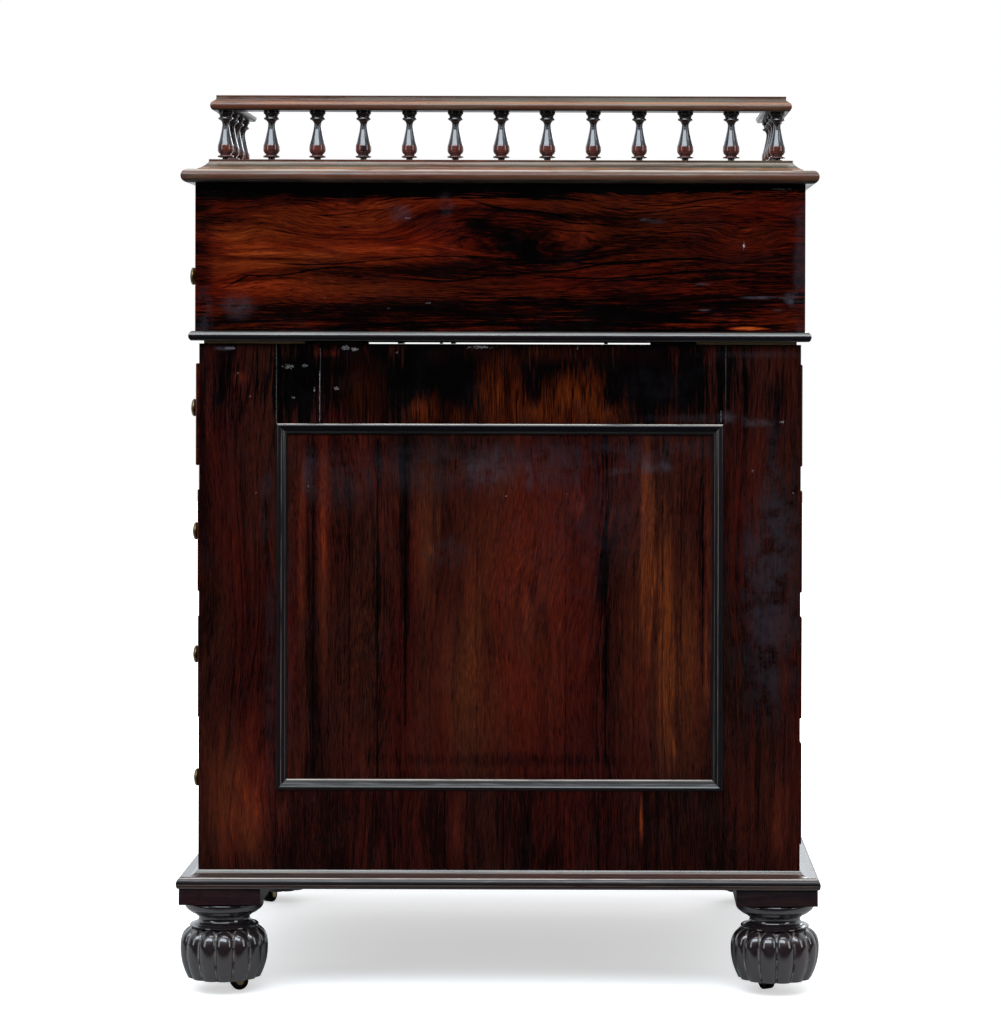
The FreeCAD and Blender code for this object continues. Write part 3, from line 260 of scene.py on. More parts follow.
figure = {                    # what the back's veneers show, in millimetres on the face
    "box": {
        "base": 0.3,
        "swells": [           # across, up, half width, half height, push round a knot
            (-148, 744, 70, 26, 11), (-2, 752, 96, 24, -13), (6, 706, 104, 22, 9),
            (72, 739, 38, 10, -5), (72, 719, 38, 9, 4), (232, 727, 38, 19, 8),
            (-215, 700, 50, 18, -6), (150, 768, 80, 18, 7), (-60, 774, 60, 14, -5),
            (-262, 735, 24, 14, 3),
        ],
        "marks": [            # across, up, half width, half height, lighter or darker
            (-190, 733, 130, 38, 0.26), (-252, 716, 40, 34, 0.2), (-130, 718, 120, 8, 0.2),
            (-52, 730, 50, 18, 0.15), (-165, 684, 100, 13, 0.15), (-240, 680, 66, 12, 0.08),
            (-40, 768, 110, 8, 0.14), (76, 740, 30, 13, 0.28), (160, 763, 130, 10, 0.14),
            (125, 722, 80, 9, 0.06), (231, 730, 30, 14, 0.1), (170, 706, 130, 7, 0.02),
            (-21, 748, 16, 5, -0.24), (27, 724, 9, 8, -0.26), (6, 735, 12, 4, -0.14),
            (85, 755, 60, 5, -0.14), (-60, 702, 150, 7, -0.18), (-60, 656, 330, 20, -0.17),
            (180, 672, 130, 22, -0.16), (190, 735, 120, 60, -0.05), (40, 735, 90, 50, -0.07),
            # (0, 788, 900, 11.5, -3.6) is a painted shadow: the dark band along the top of the
            # back, under the top moulding
            (-288, 700, 11, 90, -0.12), (0, 788, 900, 11.5, -3.6), (239, 647.2, 17, 1.8, 0.95),
            (20, 647, 330, 10, -0.1),
        ],
        "veins": [            # from, to, up, slope, wave, wave length, half thickness, strength
            (-232, -8, 712, 0.02, 3.2, 210, 0.55, 0.3), (-282, -225, 692, 0.34, 2, 60, 0.8, 0.32),
            (-262, -120, 701, 0.05, 2.6, 120, 0.6, 0.34),
            (-194, -160, 742, -0.42, 1.5, 60, 0.8, 0.42),
            (-190, -90, 758, -0.05, 4, 130, 0.5, 0.26), (-40, 90, 760, -0.18, 2, 90, 0.9, 0.34),
            (60, 220, 712, 0.004, 2.2, 150, 0.6, 0.36), (30, 270, 699, 0.01, 3, 230, 0.6, 0.34),
            (120, 250, 770, -0.02, 4.5, 130, 0.55, 0.32),
            (90, 240, 762, -0.01, 4, 120, 0.5, 0.3), (40, 130, 748, -0.16, 1.6, 70, 0.5, 0.28),
            (36, 112, 741, -0.13, 1, 60, 0.5, 0.26), (30, 120, 716, 0.16, 1, 60, 0.5, 0.28),
            (20, 150, 707, 0.12, 1.4, 90, 0.6, 0.3), (-100, 60, 696, 0.05, 2, 110, 0.6, 0.26),
        ],
        "haze": [             # across, up, half width, half height, amount
            (-254, 668, 17, 13, 0.5), (-52, 766, 8, 13, 0.45), (-98, 757, 13, 9, 0.3),
            (283, 676, 8, 8, 1.2), (-287, 660, 10, 26, 0.35), (291, 700, 7, 90, 0.3),
            (256, 677, 22, 1.6, 0.9), (195, 690, 9, 1.3, 0.9), (140, 752, 5, 1.6, 0.9),
            (197, 665, 6, 1.1, 0.8), (268, 665, 5, 1.1, 0.7), (150, 750, 10, 2.4, 0.3),
            (-225, 641, 20, 2, 0.5),
        ],
        "scars": [            # across, up, half width, half height, strength
            (235.5, 727.5, 1.1, 2.6, 0.8), (-90, 753, 3, 0.5, 0.25), (-70, 671, 2.2, 1, 0.22),
            (-170, 676, 0.9, 0.5, 0.25), (-108, 666, 2.4, 0.5, 0.12), (272, 782, 10, 0.7, 0.15),
        ],
        "lines": [],          # across, low, high, half thickness, strength
    },
    "pedestal": {
        "base": 0.33,
        "swells": [
            (-250, 220, 34, 120, 8), (255, 210, 34, 110, -7), (-265, 420, 34, 120, -6),
            (250, 430, 30, 140, 6), (-60, 160, 40, 60, 5),
        ],
        "marks": [
            (0, 594, 214, 46, -0.62), (-135, 594, 90, 44, -0.4), (135, 594, 90, 44, -0.36),
            (-166, 622, 16, 6, 0.34), (-120, 575, 50, 20, 0.02), (-262, 590, 30, 40, -0.05),
            (-252, 598, 12, 8, 0.2), (-252, 200, 36, 74, 0.32), (-240, 160, 30, 40, 0.1),
            (-252, 440, 30, 110, 0.09), (-228, 430, 7, 160, -0.1), (250, 195, 30, 64, 0.1),
            (272, 180, 8, 56, 0.2), (251, 205, 5, 60, -0.16), (262, 410, 34, 150, -0.12),
            (252, 590, 40, 44, -0.1), (262, 610, 18, 24, 0.1), (137.8, 172, 2, 26, 0.55),
            (-42, 168, 10, 44, 0.18), (-60, 160, 16, 44, -0.1), (-150, 165, 60, 40, -0.02),
            (30, 165, 40, 40, -0.06),
        ],
        "flames": [           # bright streaks along the grain
            (2, 579, 27, 34, 1), (34, 566, 26, 18, 0.8), (72, 577, 36, 36, 1.1),
            (102, 564, 24, 14, 0.6), (-77, 566, 16, 16, 0.9), (-40, 562, 14, 14, 0.3),
            (-132, 580, 30, 40, 0.22), (40, 622, 90, 12, 0.14),
        ],
        "veins": [],
        "haze": [
            (262, 400, 34, 140, 0.36), (248, 556, 16, 5, 0.65), (222, 560, 7, 8, 0.4),
            (160, 590, 50, 20, 0.05), (-226, 480, 9, 60, 0.16), (-222, 330, 6, 150, 0.12),
            (-268, 627, 8, 2, 1), (200, 560, 60, 5, 0.16), (262, 622, 60, 4, 0.15),
        ],
        "scars": [
            (-205, 609, 4.2, 1.8, 0.28), (-190, 610, 2.6, 1.4, 0.22), (-242, 580.5, 1, 0.9, 0.5),
            (-200, 579, 1.6, 1.2, 0.3), (-158, 588, 2.4, 1.8, 0.34), (-149, 628, 3.2, 2, 0.6),
            (-141, 626, 2.6, 1.4, 0.65), (-18, 628.5, 9, 1.3, 0.8), (-180, 587, 0.6, 2, 0.4),
            (-254, 603, 0.8, 0.7, 0.35), (-100, 623, 1, 0.8, 0.3), (245, 510, 0.7, 1.4, 0.45),
            (284, 488, 0.6, 0.9, 0.3), (-236, 487, 0.8, 0.7, 0.25), (75, 628, 0.6, 1.8, 0.4),
            (273, 557, 2, 0.9, 0.35), (-262, 627, 7, 1.2, 0.4),
        ],
        "lines": [
            (-216.6, 554, 631.5, 0.32, 0.16), (218.6, 554, 631.5, 0.3, 0.1),
            (-174.6, 556, 606, 0.26, 0.52), (-174, 606, 628, 0.24, 0.14),
            (214, 556, 568, 0.35, 0.25), (-53, 122, 198, 0.4, -0.3),
            (-216.6, 122, 198, 0.3, -0.25), (217, 122, 198, 0.3, -0.2), (4, 122, 196, 0.4, -0.25),
            (-122, 122, 196, 0.4, -0.22), (96, 122, 196, 0.4, -0.22),
        ],
    },
    "panel": {
        "base": 0.4,
        "swells": [
            (0, 300, 90, 190, 14), (-110, 420, 60, 150, -8), (150, 380, 50, 170, 7),
            (60, 470, 60, 110, -7),
        ],
        "marks": [
            (-192, 440, 4, 110, 0.22), (-171, 430, 7, 130, 0.3), (-150, 300, 20, 120, 0.08),
            (-181, 300, 8, 200, -0.12), (-119, 420, 5, 130, -0.2), (-92, 440, 5, 110, -0.22),
            (-74, 440, 15, 90, 0.22), (-40, 300, 40, 120, 0.12), (20, 400, 80, 130, 0.15),
            (0, 280, 90, 70, 0.08), (54, 380, 12, 160, 0.05), (101, 420, 6, 130, -0.24),
            (108, 370, 16, 190, -0.15), (144, 440, 8, 130, 0.32), (160, 340, 12, 130, 0.3),
            (186, 300, 14, 110, 0.22), (202, 420, 6, 140, 0.2), (196, 430, 3, 120, -0.2),
            (-66, 432, 4, 9, 0.22), (76, 480, 8, 14, 0.16), (25, 375, 4, 20, 0.16),
            (-12, 330, 7, 60, -0.12), (150, 350, 46, 150, 0.15), (0, 228, 130, 7, -0.12),
            (0, 206, 220, 10, -0.06), (0, 530, 230, 16, -0.08),
        ],
        "veins": [],
        "haze": [
            (-40, 512, 120, 26, 0.16), (-16, 508, 26, 16, 0.3), (60, 520, 80, 20, 0.14),
            (155, 512, 18, 6, 0.45), (114, 508, 12, 5, 0.4), (28, 502, 5, 16, 0.35),
            (160, 530, 70, 18, 0.18), (-150, 500, 36, 30, 0.12), (-186, 505, 8, 24, 0.2),
            (-52, 430, 26, 16, 0.15), (208, 340, 5, 150, 0.14), (-205, 320, 4, 180, 0.14),
            (60, 440, 60, 60, 0.06), (110, 470, 40, 60, 0.1),
        ],
        "scars": [
            (-186, 493, 0.5, 3.6, 0.3), (65, 486, 0.8, 0.6, 0.3), (6, 484, 0.8, 0.5, 0.3),
        ],
        "lines": [
            (-118.5, 210, 540, 0.6, -0.24), (-91.6, 260, 540, 0.8, -0.26),
            (103, 230, 545, 0.7, -0.18), (176, 300, 520, 0.6, -0.18), (197, 300, 545, 0.7, -0.18),
            (-181, 215, 540, 0.6, -0.16), (-22, 215, 460, 0.5, -0.12), (64, 215, 470, 0.5, -0.12),
            (130, 215, 430, 0.5, -0.16), (-146, 215, 500, 0.5, -0.14), (158, 215, 480, 0.5, -0.16),
        ],
    },
}
palettes = {                  # tone from 0 to 1, and its colour
    "warm": [
        (0.0, (0.0006, 0.0002, 0.0003)), (0.20, (0.0062, 0.0007, 0.0004)),
        (0.46, (0.056, 0.0050, 0.0013)), (0.66, (0.120, 0.0135, 0.0028)),
        (0.84, (0.215, 0.031, 0.0055)), (1.0, (0.35, 0.074, 0.014)),
    ],
    "deep": [
        (0.0, (0.0008, 0.0004, 0.0006)), (0.22, (0.0085, 0.0020, 0.0017)),
        (0.46, (0.034, 0.0060, 0.0036)), (0.66, (0.070, 0.0125, 0.0055)),
        (0.84, (0.150, 0.024, 0.0058)), (1.0, (0.27, 0.054, 0.011)),
    ],
    "faded": [
        (0.0, (0.014, 0.006, 0.004)), (0.28, (0.050, 0.019, 0.010)), (0.50, (0.120, 0.047, 0.023)),
        (0.72, (0.225, 0.098, 0.047)), (1.0, (0.38, 0.20, 0.105)),
    ],
    "brown": [
        (0.0, (0.0030, 0.0014, 0.0014)), (0.28, (0.018, 0.0062, 0.0044)),
        (0.50, (0.050, 0.015, 0.0090)), (0.72, (0.105, 0.032, 0.017)), (1.0, (0.20, 0.075, 0.038)),
    ],
    "black": [
        (0.0, (0.0008, 0.0007, 0.0010)), (0.35, (0.0046, 0.0034, 0.0046)),
        (0.62, (0.0112, 0.0070, 0.0090)), (0.85, (0.026, 0.0130, 0.0120)),
        (1.0, (0.062, 0.025, 0.016)),
    ],
}
hues = [(0.36, (0.43, 0.56, 0.52)), (0.50, (0.50, 0.50, 0.50)), (0.64, (0.58, 0.41, 0.43))]
flame = [(0.28, (0.006, 0.0008, 0.0003)), (0.46, (0.036, 0.0050, 0.0012)),
         (0.64, (0.098, 0.0165, 0.0026)), (0.85, (0.18, 0.044, 0.006))]
paintedLightAndTones = {                      # what a band along a moulding turns to: pale, beige, grey and slate are painted highlights and reflections, black, ink and red painted shade, amber, moss and bulb the wood's own colour
    "pale": (0.52, 0.45, 0.40), "beige": (0.26, 0.22, 0.19), "amber": (0.27, 0.105, 0.040),
    "bulb": (0.120, 0.026, 0.016), "red": (0.088, 0.027, 0.0145), "black": (0.0040, 0.0030, 0.0038),
    "grey": (0.140, 0.132, 0.114), "moss": (0.044, 0.047, 0.034), "slate": (0.060, 0.070, 0.084),
    "ink": (0.0044, 0.0036, 0.0042),
}
coatUnderBand = {"red": 0.30, "black": 0.25, "bulb": 0.65, "amber": 0.7, "ink": 0.06}  # share of the coat kept under a band, lowered under the darker bands so that reflections don't lift their painted shade
timber = {                    # how any rosewood's figure is built up
    "layers": {               # stretch along the grain, scale, detail, roughness, share of the tone
        "broad": (14.0, 1.25, 2.0, 0.50, 0.46), "medium": (14.0, 5.2, 3.0, 0.62, 0.46),
        "fine": (26.0, 16.0, 3.0, 0.72, 0.60), "fibre": (26.0, 60.0, 2.0, 0.65, 0.80),
    },
    "contour": (14.0, 1.75, 1.0),     # stretch, scale, detail
    "contours": [(0.055, 0.004, 0.022, 0.16), (0.13, 0.010, 0.045, 0.15)],  # level, fade, strength
    "contoured": (2.3, 1.0, 0.5, 0.40, 0.60),     # scale, detail, roughness, low, high
    "pricks": {               # the same after a stretch, then how much darker
        "pores": (11.0, 88.0, 1.0, 0.5, 0.58, 0.68, 0.14),
        "flecks": (7.0, 36.0, 2.0, 0.6, 0.57, 0.70, 0.10),
    },
    "streaks": (6.0, 3.6, 2.0),       # stretch, scale, detail
    "sway": (3.2, 2.6, 2.0, 0.030),   # the same, and the metres that the grain wanders
    "bloom": (30.0, 3.0, 0.6),        # scale, detail, roughness
    "edgeWear": (60.0, 4.0, 0.7, 0.36, 0.62),
    "waxAndGlintLeft": (150.0, 3.0, 0.7, 0.34, 0.60),
    "crumbled": (900.0, 3.0, 0.75, 0.40, 0.58),
    "arris": 0.0009,          # radius of the eased edges
    "mitre": 0.00004,         # half the width over which the grain turns
    "joint": (0.00008, 0.00040, 0.30),    # a mitre's joint: inner, outer, how much darker
    "haze": (0.056, 0.050, 0.062),
    "rubbed": (0.20, 0.145, 0.110),
    "sunned": (0.150, 0.138, 0.096),
    "waxAndGlintColour": (0.25, 0.235, 0.20),
    "chip": (0.40, 0.38, 0.38),
}


def mitreGap(bench, grain):
    first, second, halfFirst, halfSecond, middle = grain
    here = bench.here()
    return (abs(bench.part(here, first)) - halfFirst) - (
        abs(bench.part(here, second) - middle) - halfSecond)


def mitreSide(bench, grain):  # 1 on the lengths that run along the second axis
    return bench.ease(mitreGap(bench, grain), -timber["mitre"], timber["mitre"])


def grained(bench, where, grain, ratio):      # coordinates drawn out along the grain
    if isinstance(grain, str):
        return bench.vector("MULTIPLY", where, [1 if axis == grain else ratio for axis in "xyz"])
    first, second = (grained(bench, where, axis, ratio) for axis in grain[:2])
    return bench.put("ShaderNodeMix", {0: mitreSide(bench, grain), 4: first, 5: second}, out=1,
                     data_type="VECTOR")


def patches(bench, here, spots, wobble, fade=(0.30, 1.30)):
    total = 0.0
    for across, up, halfWide, halfHigh, amount in spots:
        offset = bench.vector("SUBTRACT", here, (across / 1000, 0, up / 1000))
        offset = bench.vector("MULTIPLY", offset, (1000 / halfWide, 0, 1000 / halfHigh))
        away = bench.vector("LENGTH", offset, out="Value") + wobble
        total = bench.fade(away, *fade) * amount + total
    return total


def veinSum(bench, across, up, veins, stray):
    total = 0.0
    for low, high, height, slope, wave, length, half, strength in veins:
        run = across - (low + high) / 2
        line = run * slope + (run * (math.tau / length)).does("SINE") * wave + height
        near = bench.fade(abs(up - line + stray), half * 0.5, half * 2.0)
        ends = bench.ease(across, low, low + 30) * bench.fade(across, high - 40, high)
        total = near * ends * strength + total
    return total


def lineSum(bench, across, up, lines, stray):
    total = 0.0
    for place, low, high, half, strength in lines:
        near = bench.fade(abs(across - place + stray), half * 0.6, half * 2.0)
        ends = bench.ease(up, low, low + 1.0) * bench.fade(up, high - 1.0, high)
        total = near * ends * abs(strength) + total
    return total


def drawnFigure(bench, here, marks, layers):  # one face's own tone, pale chips and haze
    across, up = bench.part(here, "x") * 1000, bench.part(here, "z") * 1000
    medium, fine = layers["medium"], layers["fine"]
    wobble = medium * 2.4 + fine * 2.2
    dark, light = ([line for line in marks["lines"] if line[4] * side > 0] for side in (-1, 1))
    tone = patches(bench, here, marks["marks"], wobble)
    tone = tone - veinSum(bench, across, up, marks["veins"], medium * 3.15 + fine * 0.7)
    tone = tone - lineSum(bench, across, up, dark, fine * 2.5)
    ragged = bench.noise(here, 420.0, 3.0, 0.7) - 0.5
    broken = bench.blotches(here, *timber["crumbled"])
    chips = patches(bench, here, marks["scars"], ragged * 4.2, (0.5, 1.2)) * broken * 1.25
    light = lineSum(bench, across, up, light, ragged * 1.2)
    pale = bench.ease(ragged, -0.25, 0.15) * light + chips
    smeared = bench.ease(bench.noise(here, 38.0, 5.0, 0.72) + fine * 0.2, 0.34, 0.60)
    return tone, pale, patches(bench, here, marks["haze"], wobble * 0.6) * smeared * 0.75


def swayed(bench, here, grain, face):         # the grain wanders, and bends round the knots
    flow = here
    if face:
        push = patches(bench, here, face["swells"], 0.0) * 0.001
        cross = "x" if grain == "z" else "z"
        push = bench.put("ShaderNodeCombineXYZ", {"xyz".index(cross): push})
        flow = bench.vector("ADD", here, push)
    ratio, scale, detail, metres = timber["sway"]
    sway = bench.noise(grained(bench, here, grain, ratio), scale, detail, out=1)
    sway = bench.vector("SUBTRACT", sway, (0.5,) * 3)
    return bench.vector("ADD", flow, bench.vector("MULTIPLY", sway, (metres,) * 3))


def grainTone(bench, flow, grain, base, depth, lines):
    tone, layers = base, {}
    for layer, (ratio, *noise, share) in timber["layers"].items():
        layers[layer] = bench.noise(grained(bench, flow, grain, ratio), *noise) - 0.5
        tone = layers[layer] * (share * depth) + tone
    ratio, *noise = timber["contour"]
    coarse = grained(bench, flow, grain, ratio)
    contour = abs(bench.noise(coarse, *noise) - 0.5)
    patchy = bench.blotches(coarse, *timber["contoured"]) * (lines * depth)
    for level, inner, outer, strength in timber["contours"]:
        tone = tone - bench.fade(abs(contour - level), inner, outer) * patchy * strength
    for prick, (ratio, *blotches, strength) in timber["pricks"].items():
        layers[prick] = bench.blotches(grained(bench, flow, grain, ratio), *blotches)
        tone = tone - layers[prick] * (strength * depth)
    return tone, layers


def flamed(bench, here, layers, flames, colour):
    medium, fine, fibre = (layers[layer] for layer in ("medium", "fine", "fibre"))
    licks = bench.ease(fine + fibre * 0.5, -0.22, -0.04)
    glow = patches(bench, here, flames, medium * 3.6 + fine * 3.3)
    burnt = bench.ramp(medium * 0.8 + fine + fibre * 0.7 + 0.5, flame)
    return bench.tint(glow.does("MINIMUM", 0.95) * licks, colour, burnt)


def edgesRubbed(bench, here, rounded, wear, colour):
    flat = bench.put("ShaderNodeNewGeometry", out="Normal")
    edge = 1.0 - bench.vector("DOT_PRODUCT", rounded, flat, out="Value")
    wearAndLightBand = bench.ease(edge, 0.015, 0.16) * bench.blotches(here, *timber["edgeWear"])
    return bench.tint(wearAndLightBand * wear, colour, timber["rubbed"])


# paints bands along the mouldings and turnings: painted highlights and painted shade, with some of
# the wood's own colour; the coat is thinned under the darker bands
def banded(bench, here, grain, broken, bands, colour, gloss):
    for place, half, strength, wearAndLightBand, *other in bands:
        axis = other[0] if other else "z"
        off = abs(abs(bench.part(here, axis)) * 1000 - place)
        spread = bench.fade(off, half * 0.5, half * 1.3) * broken
        if axis in grain[:2] and not isinstance(grain, str):
            side = mitreSide(bench, grain)
            spread = (side if axis == grain[0] else 1.0 - side) * spread
        colour = bench.tint(spread * strength, colour, paintedLightAndTones[wearAndLightBand])
        if wearAndLightBand in coatUnderBand:
            gloss = (1.0 - spread * (strength * (1 - coatUnderBand[wearAndLightBand]))) * gloss
    return colour, gloss


def rosewood(name, grain, palette, base=0.42, face=None, depth=1.0, shine=0.0, coat=0.45,
             coatRough=0.07, rough=0.42, wear=0.0, bloom=0.10, coatIor=1.5, lines=1.0, bands=(),
             bleach=0.0, edgeWaxAndGlint=0.0):
    material, bench = newMaterial(name)
    here = bench.here()
    flow = swayed(bench, here, grain, face)
    tone, layers = grainTone(bench, flow, grain, base, depth, lines)
    mist = ((bench.noise(here, *timber["bloom"]) - 0.5) * bloom).does("MAXIMUM", 0.0)
    if face:
        change, pale, cloudy = drawnFigure(bench, here, face, layers)
        tone, mist = tone + change, (mist + cloudy).does("MAXIMUM", 0.0)
    mist = mist.does("MINIMUM", 1.0)
    if not isinstance(grain, str):
        inner, outer, darker = timber["joint"]
        tone = tone - bench.fade(abs(mitreGap(bench, grain)), inner, outer) * darker
    ratio, *noise = timber["streaks"]
    streak = bench.ramp(bench.noise(grained(bench, flow, grain, ratio), *noise), hues)
    colour = bench.vector("MULTIPLY", bench.ramp(tone, palettes[palette]), streak)
    colour = bench.vector("MULTIPLY", colour, (2, 2, 2))     # the hues are written at half strength
    if face and "flames" in face:
        colour = flamed(bench, here, layers, face["flames"], colour)
    colour = bench.tint(mist, colour, timber["haze"])
    rounded = bench.put("ShaderNodeBevel", {"Radius": timber["arris"]}, samples=4)
    if wear:
        colour = edgesRubbed(bench, here, rounded, wear, colour)
    if bleach:                # sun and dusting have taken the colour in places
        sunned = bench.ease(layers["broad"] + layers["medium"] * 0.6, -0.06, 0.14)
        colour = bench.tint(sunned * bleach, colour, timber["sunned"])
    broken = bench.ease(layers["fine"] + layers["medium"], -0.30, 0.10)
    colour, gloss = banded(bench, here, grain, broken, bands, colour, coat)
    if edgeWaxAndGlint:                # old wax and a painted highlight along the edges of the carving
        waxedAndGlinting = bench.put("ShaderNodeAttribute", out="Fac", attribute_name="wear")
        waxedAndGlinting = waxedAndGlinting * bench.blotches(here, *timber["waxAndGlintLeft"])
        colour = bench.tint(waxedAndGlinting * edgeWaxAndGlint, colour, timber["waxAndGlintColour"])
    if face:
        colour = bench.tint(pale.does("MINIMUM", 0.9), colour, timber["chip"])
    height = layers["fibre"] * 0.35 - layers["pores"] * 0.6 + bench.noise(here, 9.0, 2.0) * 3.0
    bench.surface({
        "Base Color": colour, "Roughness": mist * 0.25 + rough, "Specular IOR Level": shine,
        "Normal": bench.bump(height, 0.22, 0.00012, Normal=rounded),
        "Coat Weight": gloss, "Coat Roughness": coatRough, "Coat IOR": coatIor})
    return material


metal = {
    "tarnished": (0.105, 0.062, 0.022),
    "clouds": (90.0, 4.0, 0.65, 0.35, 0.70),      # scale, detail, roughness, low, high
    "spots": (420.0, 2.0, 0.5, 0.62, 0.72),
    "spotted": 0.3,
    "arris": 0.0003,
}
lining = {
    "lines": (9.0, 3.0, 4.0, 0.6),    # stretch, scale, detail, roughness
    "fibre": (40.0, 20.0, 3.0, 0.7),
    "grime": (0.055, 0.03, 0.016),
    "grimy": (7.0, 4.0, 0.6, 0.50, 0.85),         # scale, detail, roughness, low, high
    "grimiest": 0.45,
}


def brass(name, tone, tarnish):
    material, bench = newMaterial(name)
    here = bench.here()
    cloud, spots = (bench.blotches(here, *metal[kind]) for kind in ("clouds", "spots"))
    dull = (cloud * tarnish + spots * metal["spotted"]).does("MINIMUM", 1.0)
    colour = bench.tint(dull, tone, metal["tarnished"])
    lathe = bench.noise(bench.vector("MULTIPLY", here, (1, 6, 6)), 700.0, 1.0)
    rounded = bench.put("ShaderNodeBevel", {"Radius": metal["arris"]}, samples=4)
    bench.surface({
        "Base Color": colour, "Metallic": 1.0 - dull * 0.25, "Roughness": dull * 0.22 + 0.22,
        "Normal": bench.bump(lathe, 0.12, 0.0001, Normal=rounded)})
    return material


def liningWood(name, dark, light, grain="x"):
    material, bench = newMaterial(name)
    here = bench.here()
    lines, fibre = (bench.noise(grained(bench, here, grain, ratio), *noise)
                    for ratio, *noise in (lining["lines"], lining["fibre"]))
    colour = bench.ramp(lines * 0.6 + fibre * 0.4, [(0.28, dark), (0.72, light)])
    grime = bench.blotches(here, *lining["grimy"])
    bench.surface({
        "Base Color": bench.tint(grime * lining["grimiest"], colour, lining["grime"]),
        "Roughness": grime * 0.15 + 0.62, "Normal": bench.bump(fibre, 0.25, 0.0002),
        "Specular IOR Level": 0.3})
    return material


def dressed(node, material):
    mesh = cad[node].data
    mesh.materials.clear()
    mesh.materials.append(material)


frames = {                    # mitred lengths: two axes, half sizes along them, middle, in metres
    "plinth": ("x", "y", 0.2914, 0.2657, 0),
    "box": ("x", "y", 0.2950, 0.2697, 0),
    "rail": ("x", "y", 0.2688, 0.2448, 0),
    "panel": ("x", "z", 0.2168, 0.1780, 0.3766),
}
boxVeneer = rosewood("boxVeneer", "x", "warm", figure["box"]["base"], figure["box"])
pedestalVeneer = rosewood("pedestalVeneer", "z", "deep", figure["pedestal"]["base"],
                          figure["pedestal"], depth=0.80, bloom=0.12)
panelVeneer = rosewood("panelVeneer", "z", "deep", figure["panel"]["base"], figure["panel"],
                       depth=0.95, bloom=0.12, lines=0.5)
print("veneers mixed")

# a band: its middle and half width in millimetres, strength, colour, and its axis if it isn't z.
# Most bands paint highlight lines and shade along the mouldings
# plinthWood's bands: black on the nose is painted shade; pale and grey are painted highlight lines
# at the nose's edges and on the cavetto
plinthWood = rosewood(
    "plinthWood", frames["plinth"], "brown", 0.40, depth=0.6, shine=0.2, coat=1.0, coatRough=0.12,
    rough=0.34, wear=0.35, bands=[
        (112.6, 3.2, 0.92, "black"), (115.9, 0.35, 0.8, "pale"),
        (109.6, 0.45, 0.6, "grey"), (120.4, 1.3, 0.65, "grey")])
# topWood's bands: black at the top edge and under the nose, and red on the nose, are painted shade;
# pale at the nose's top is a painted highlight, grey on the cove a painted sky reflection
topWood = rosewood(
    "topWood", frames["box"], "faded", 0.46, shine=0.15, coat=0.7, coatRough=0.10, rough=0.36,
    wear=0.3, bleach=0.75, bands=[
        (809.0, 0.7, 0.6, "black"), (806.6, 1.9, 0.6, "grey"),
        (803.6, 1.4, 0.75, "moss"), (801.0, 1.5, 0.8, "amber"),
        (798.7, 0.8, 0.7, "pale"), (793.8, 4.2, 0.92, "red"),
        (788.2, 2.2, 0.95, "black")])
lidEdgeWood = rosewood("lidEdgeWood", frames["box"], "brown", 0.56, shine=0.2, coat=0.8,
                       coatRough=0.12, rough=0.36, wear=0.35, bleach=0.12)
# railWood's bands: black at the top edge and under the nose, and red on the nose, are painted
# shade; grey on the cove is a painted sky reflection
railWood = rosewood(
    "railWood", frames["rail"], "faded", 0.44, shine=0.15, coat=0.7, coatRough=0.10, rough=0.36,
    wear=0.3, bleach=0.8, bands=[
        (871.9, 0.6, 0.7, "black"), (870.0, 1.4, 0.75, "grey"),
        (867.9, 1.0, 0.8, "moss"), (865.6, 1.4, 0.75, "amber"),
        (861.6, 2.8, 0.92, "red"), (858.7, 0.8, 0.95, "black")])
# beadWood's bands: the grey lines are painted highlights along the bead, the black below it painted
# shade
beadWood = rosewood(
    "beadWood", frames["box"], "black", 0.45, depth=0.5, shine=0.2, coat=1.0, coatRough=0.12,
    rough=0.32, wear=0.2, lines=0.3, bands=[
        (641.0, 1.3, 0.75, "grey"), (643.8, 0.3, 0.4, "grey"),
        (636.6, 1.8, 0.8, "black")])
# panelBeadWood's bands are painted light along the bead: pale, slate, grey and beige lines are
# painted highlights, black and ink painted shade
panelBeadWood = rosewood(
    "panelBeadWood", frames["panel"], "black", 0.46, depth=0.5, shine=0.1, coat=0.7, coatRough=0.12,
    rough=0.36, wear=0.25, lines=0.3, bands=[
        (553.7, 0.5, 0.85, "pale"), (548.4, 4.4, 0.7, "black"),
        (208.7, 0.45, 0.8, "pale"), (543.6, 0.3, 0.4, "slate"),
        (205.4, 2.4, 0.92, "ink"), (202.4, 0.5, 0.6, "grey"),
        (199.9, 1.1, 0.8, "black"), (216.9, 0.3, 0.30, "beige", "x"),
        (211.6, 0.35, 0.45, "beige", "x"), (208.2, 0.25, 0.30, "beige", "x")])
sideVeneer = rosewood("sideVeneer", "y", "warm", 0.40, coat=0.6)
frontVeneer = rosewood("frontVeneer", "z", "warm", 0.40, coat=0.6)
smallVeneer = rosewood("smallVeneer", "x", "warm", 0.46, coat=0.6)
lidVeneer = rosewood("lidVeneer", "x", "warm", 0.48, coat=0.6)
# the pale lines along the lobes' edges are partly old wax, partly a painted highlight
footWood = rosewood("footWood", "z", "black", 0.62, depth=0.9, shine=0.1, coat=1.0, coatRough=0.09,
                    rough=0.50, lines=0.3, coatIor=1.74, edgeWaxAndGlint=0.85)
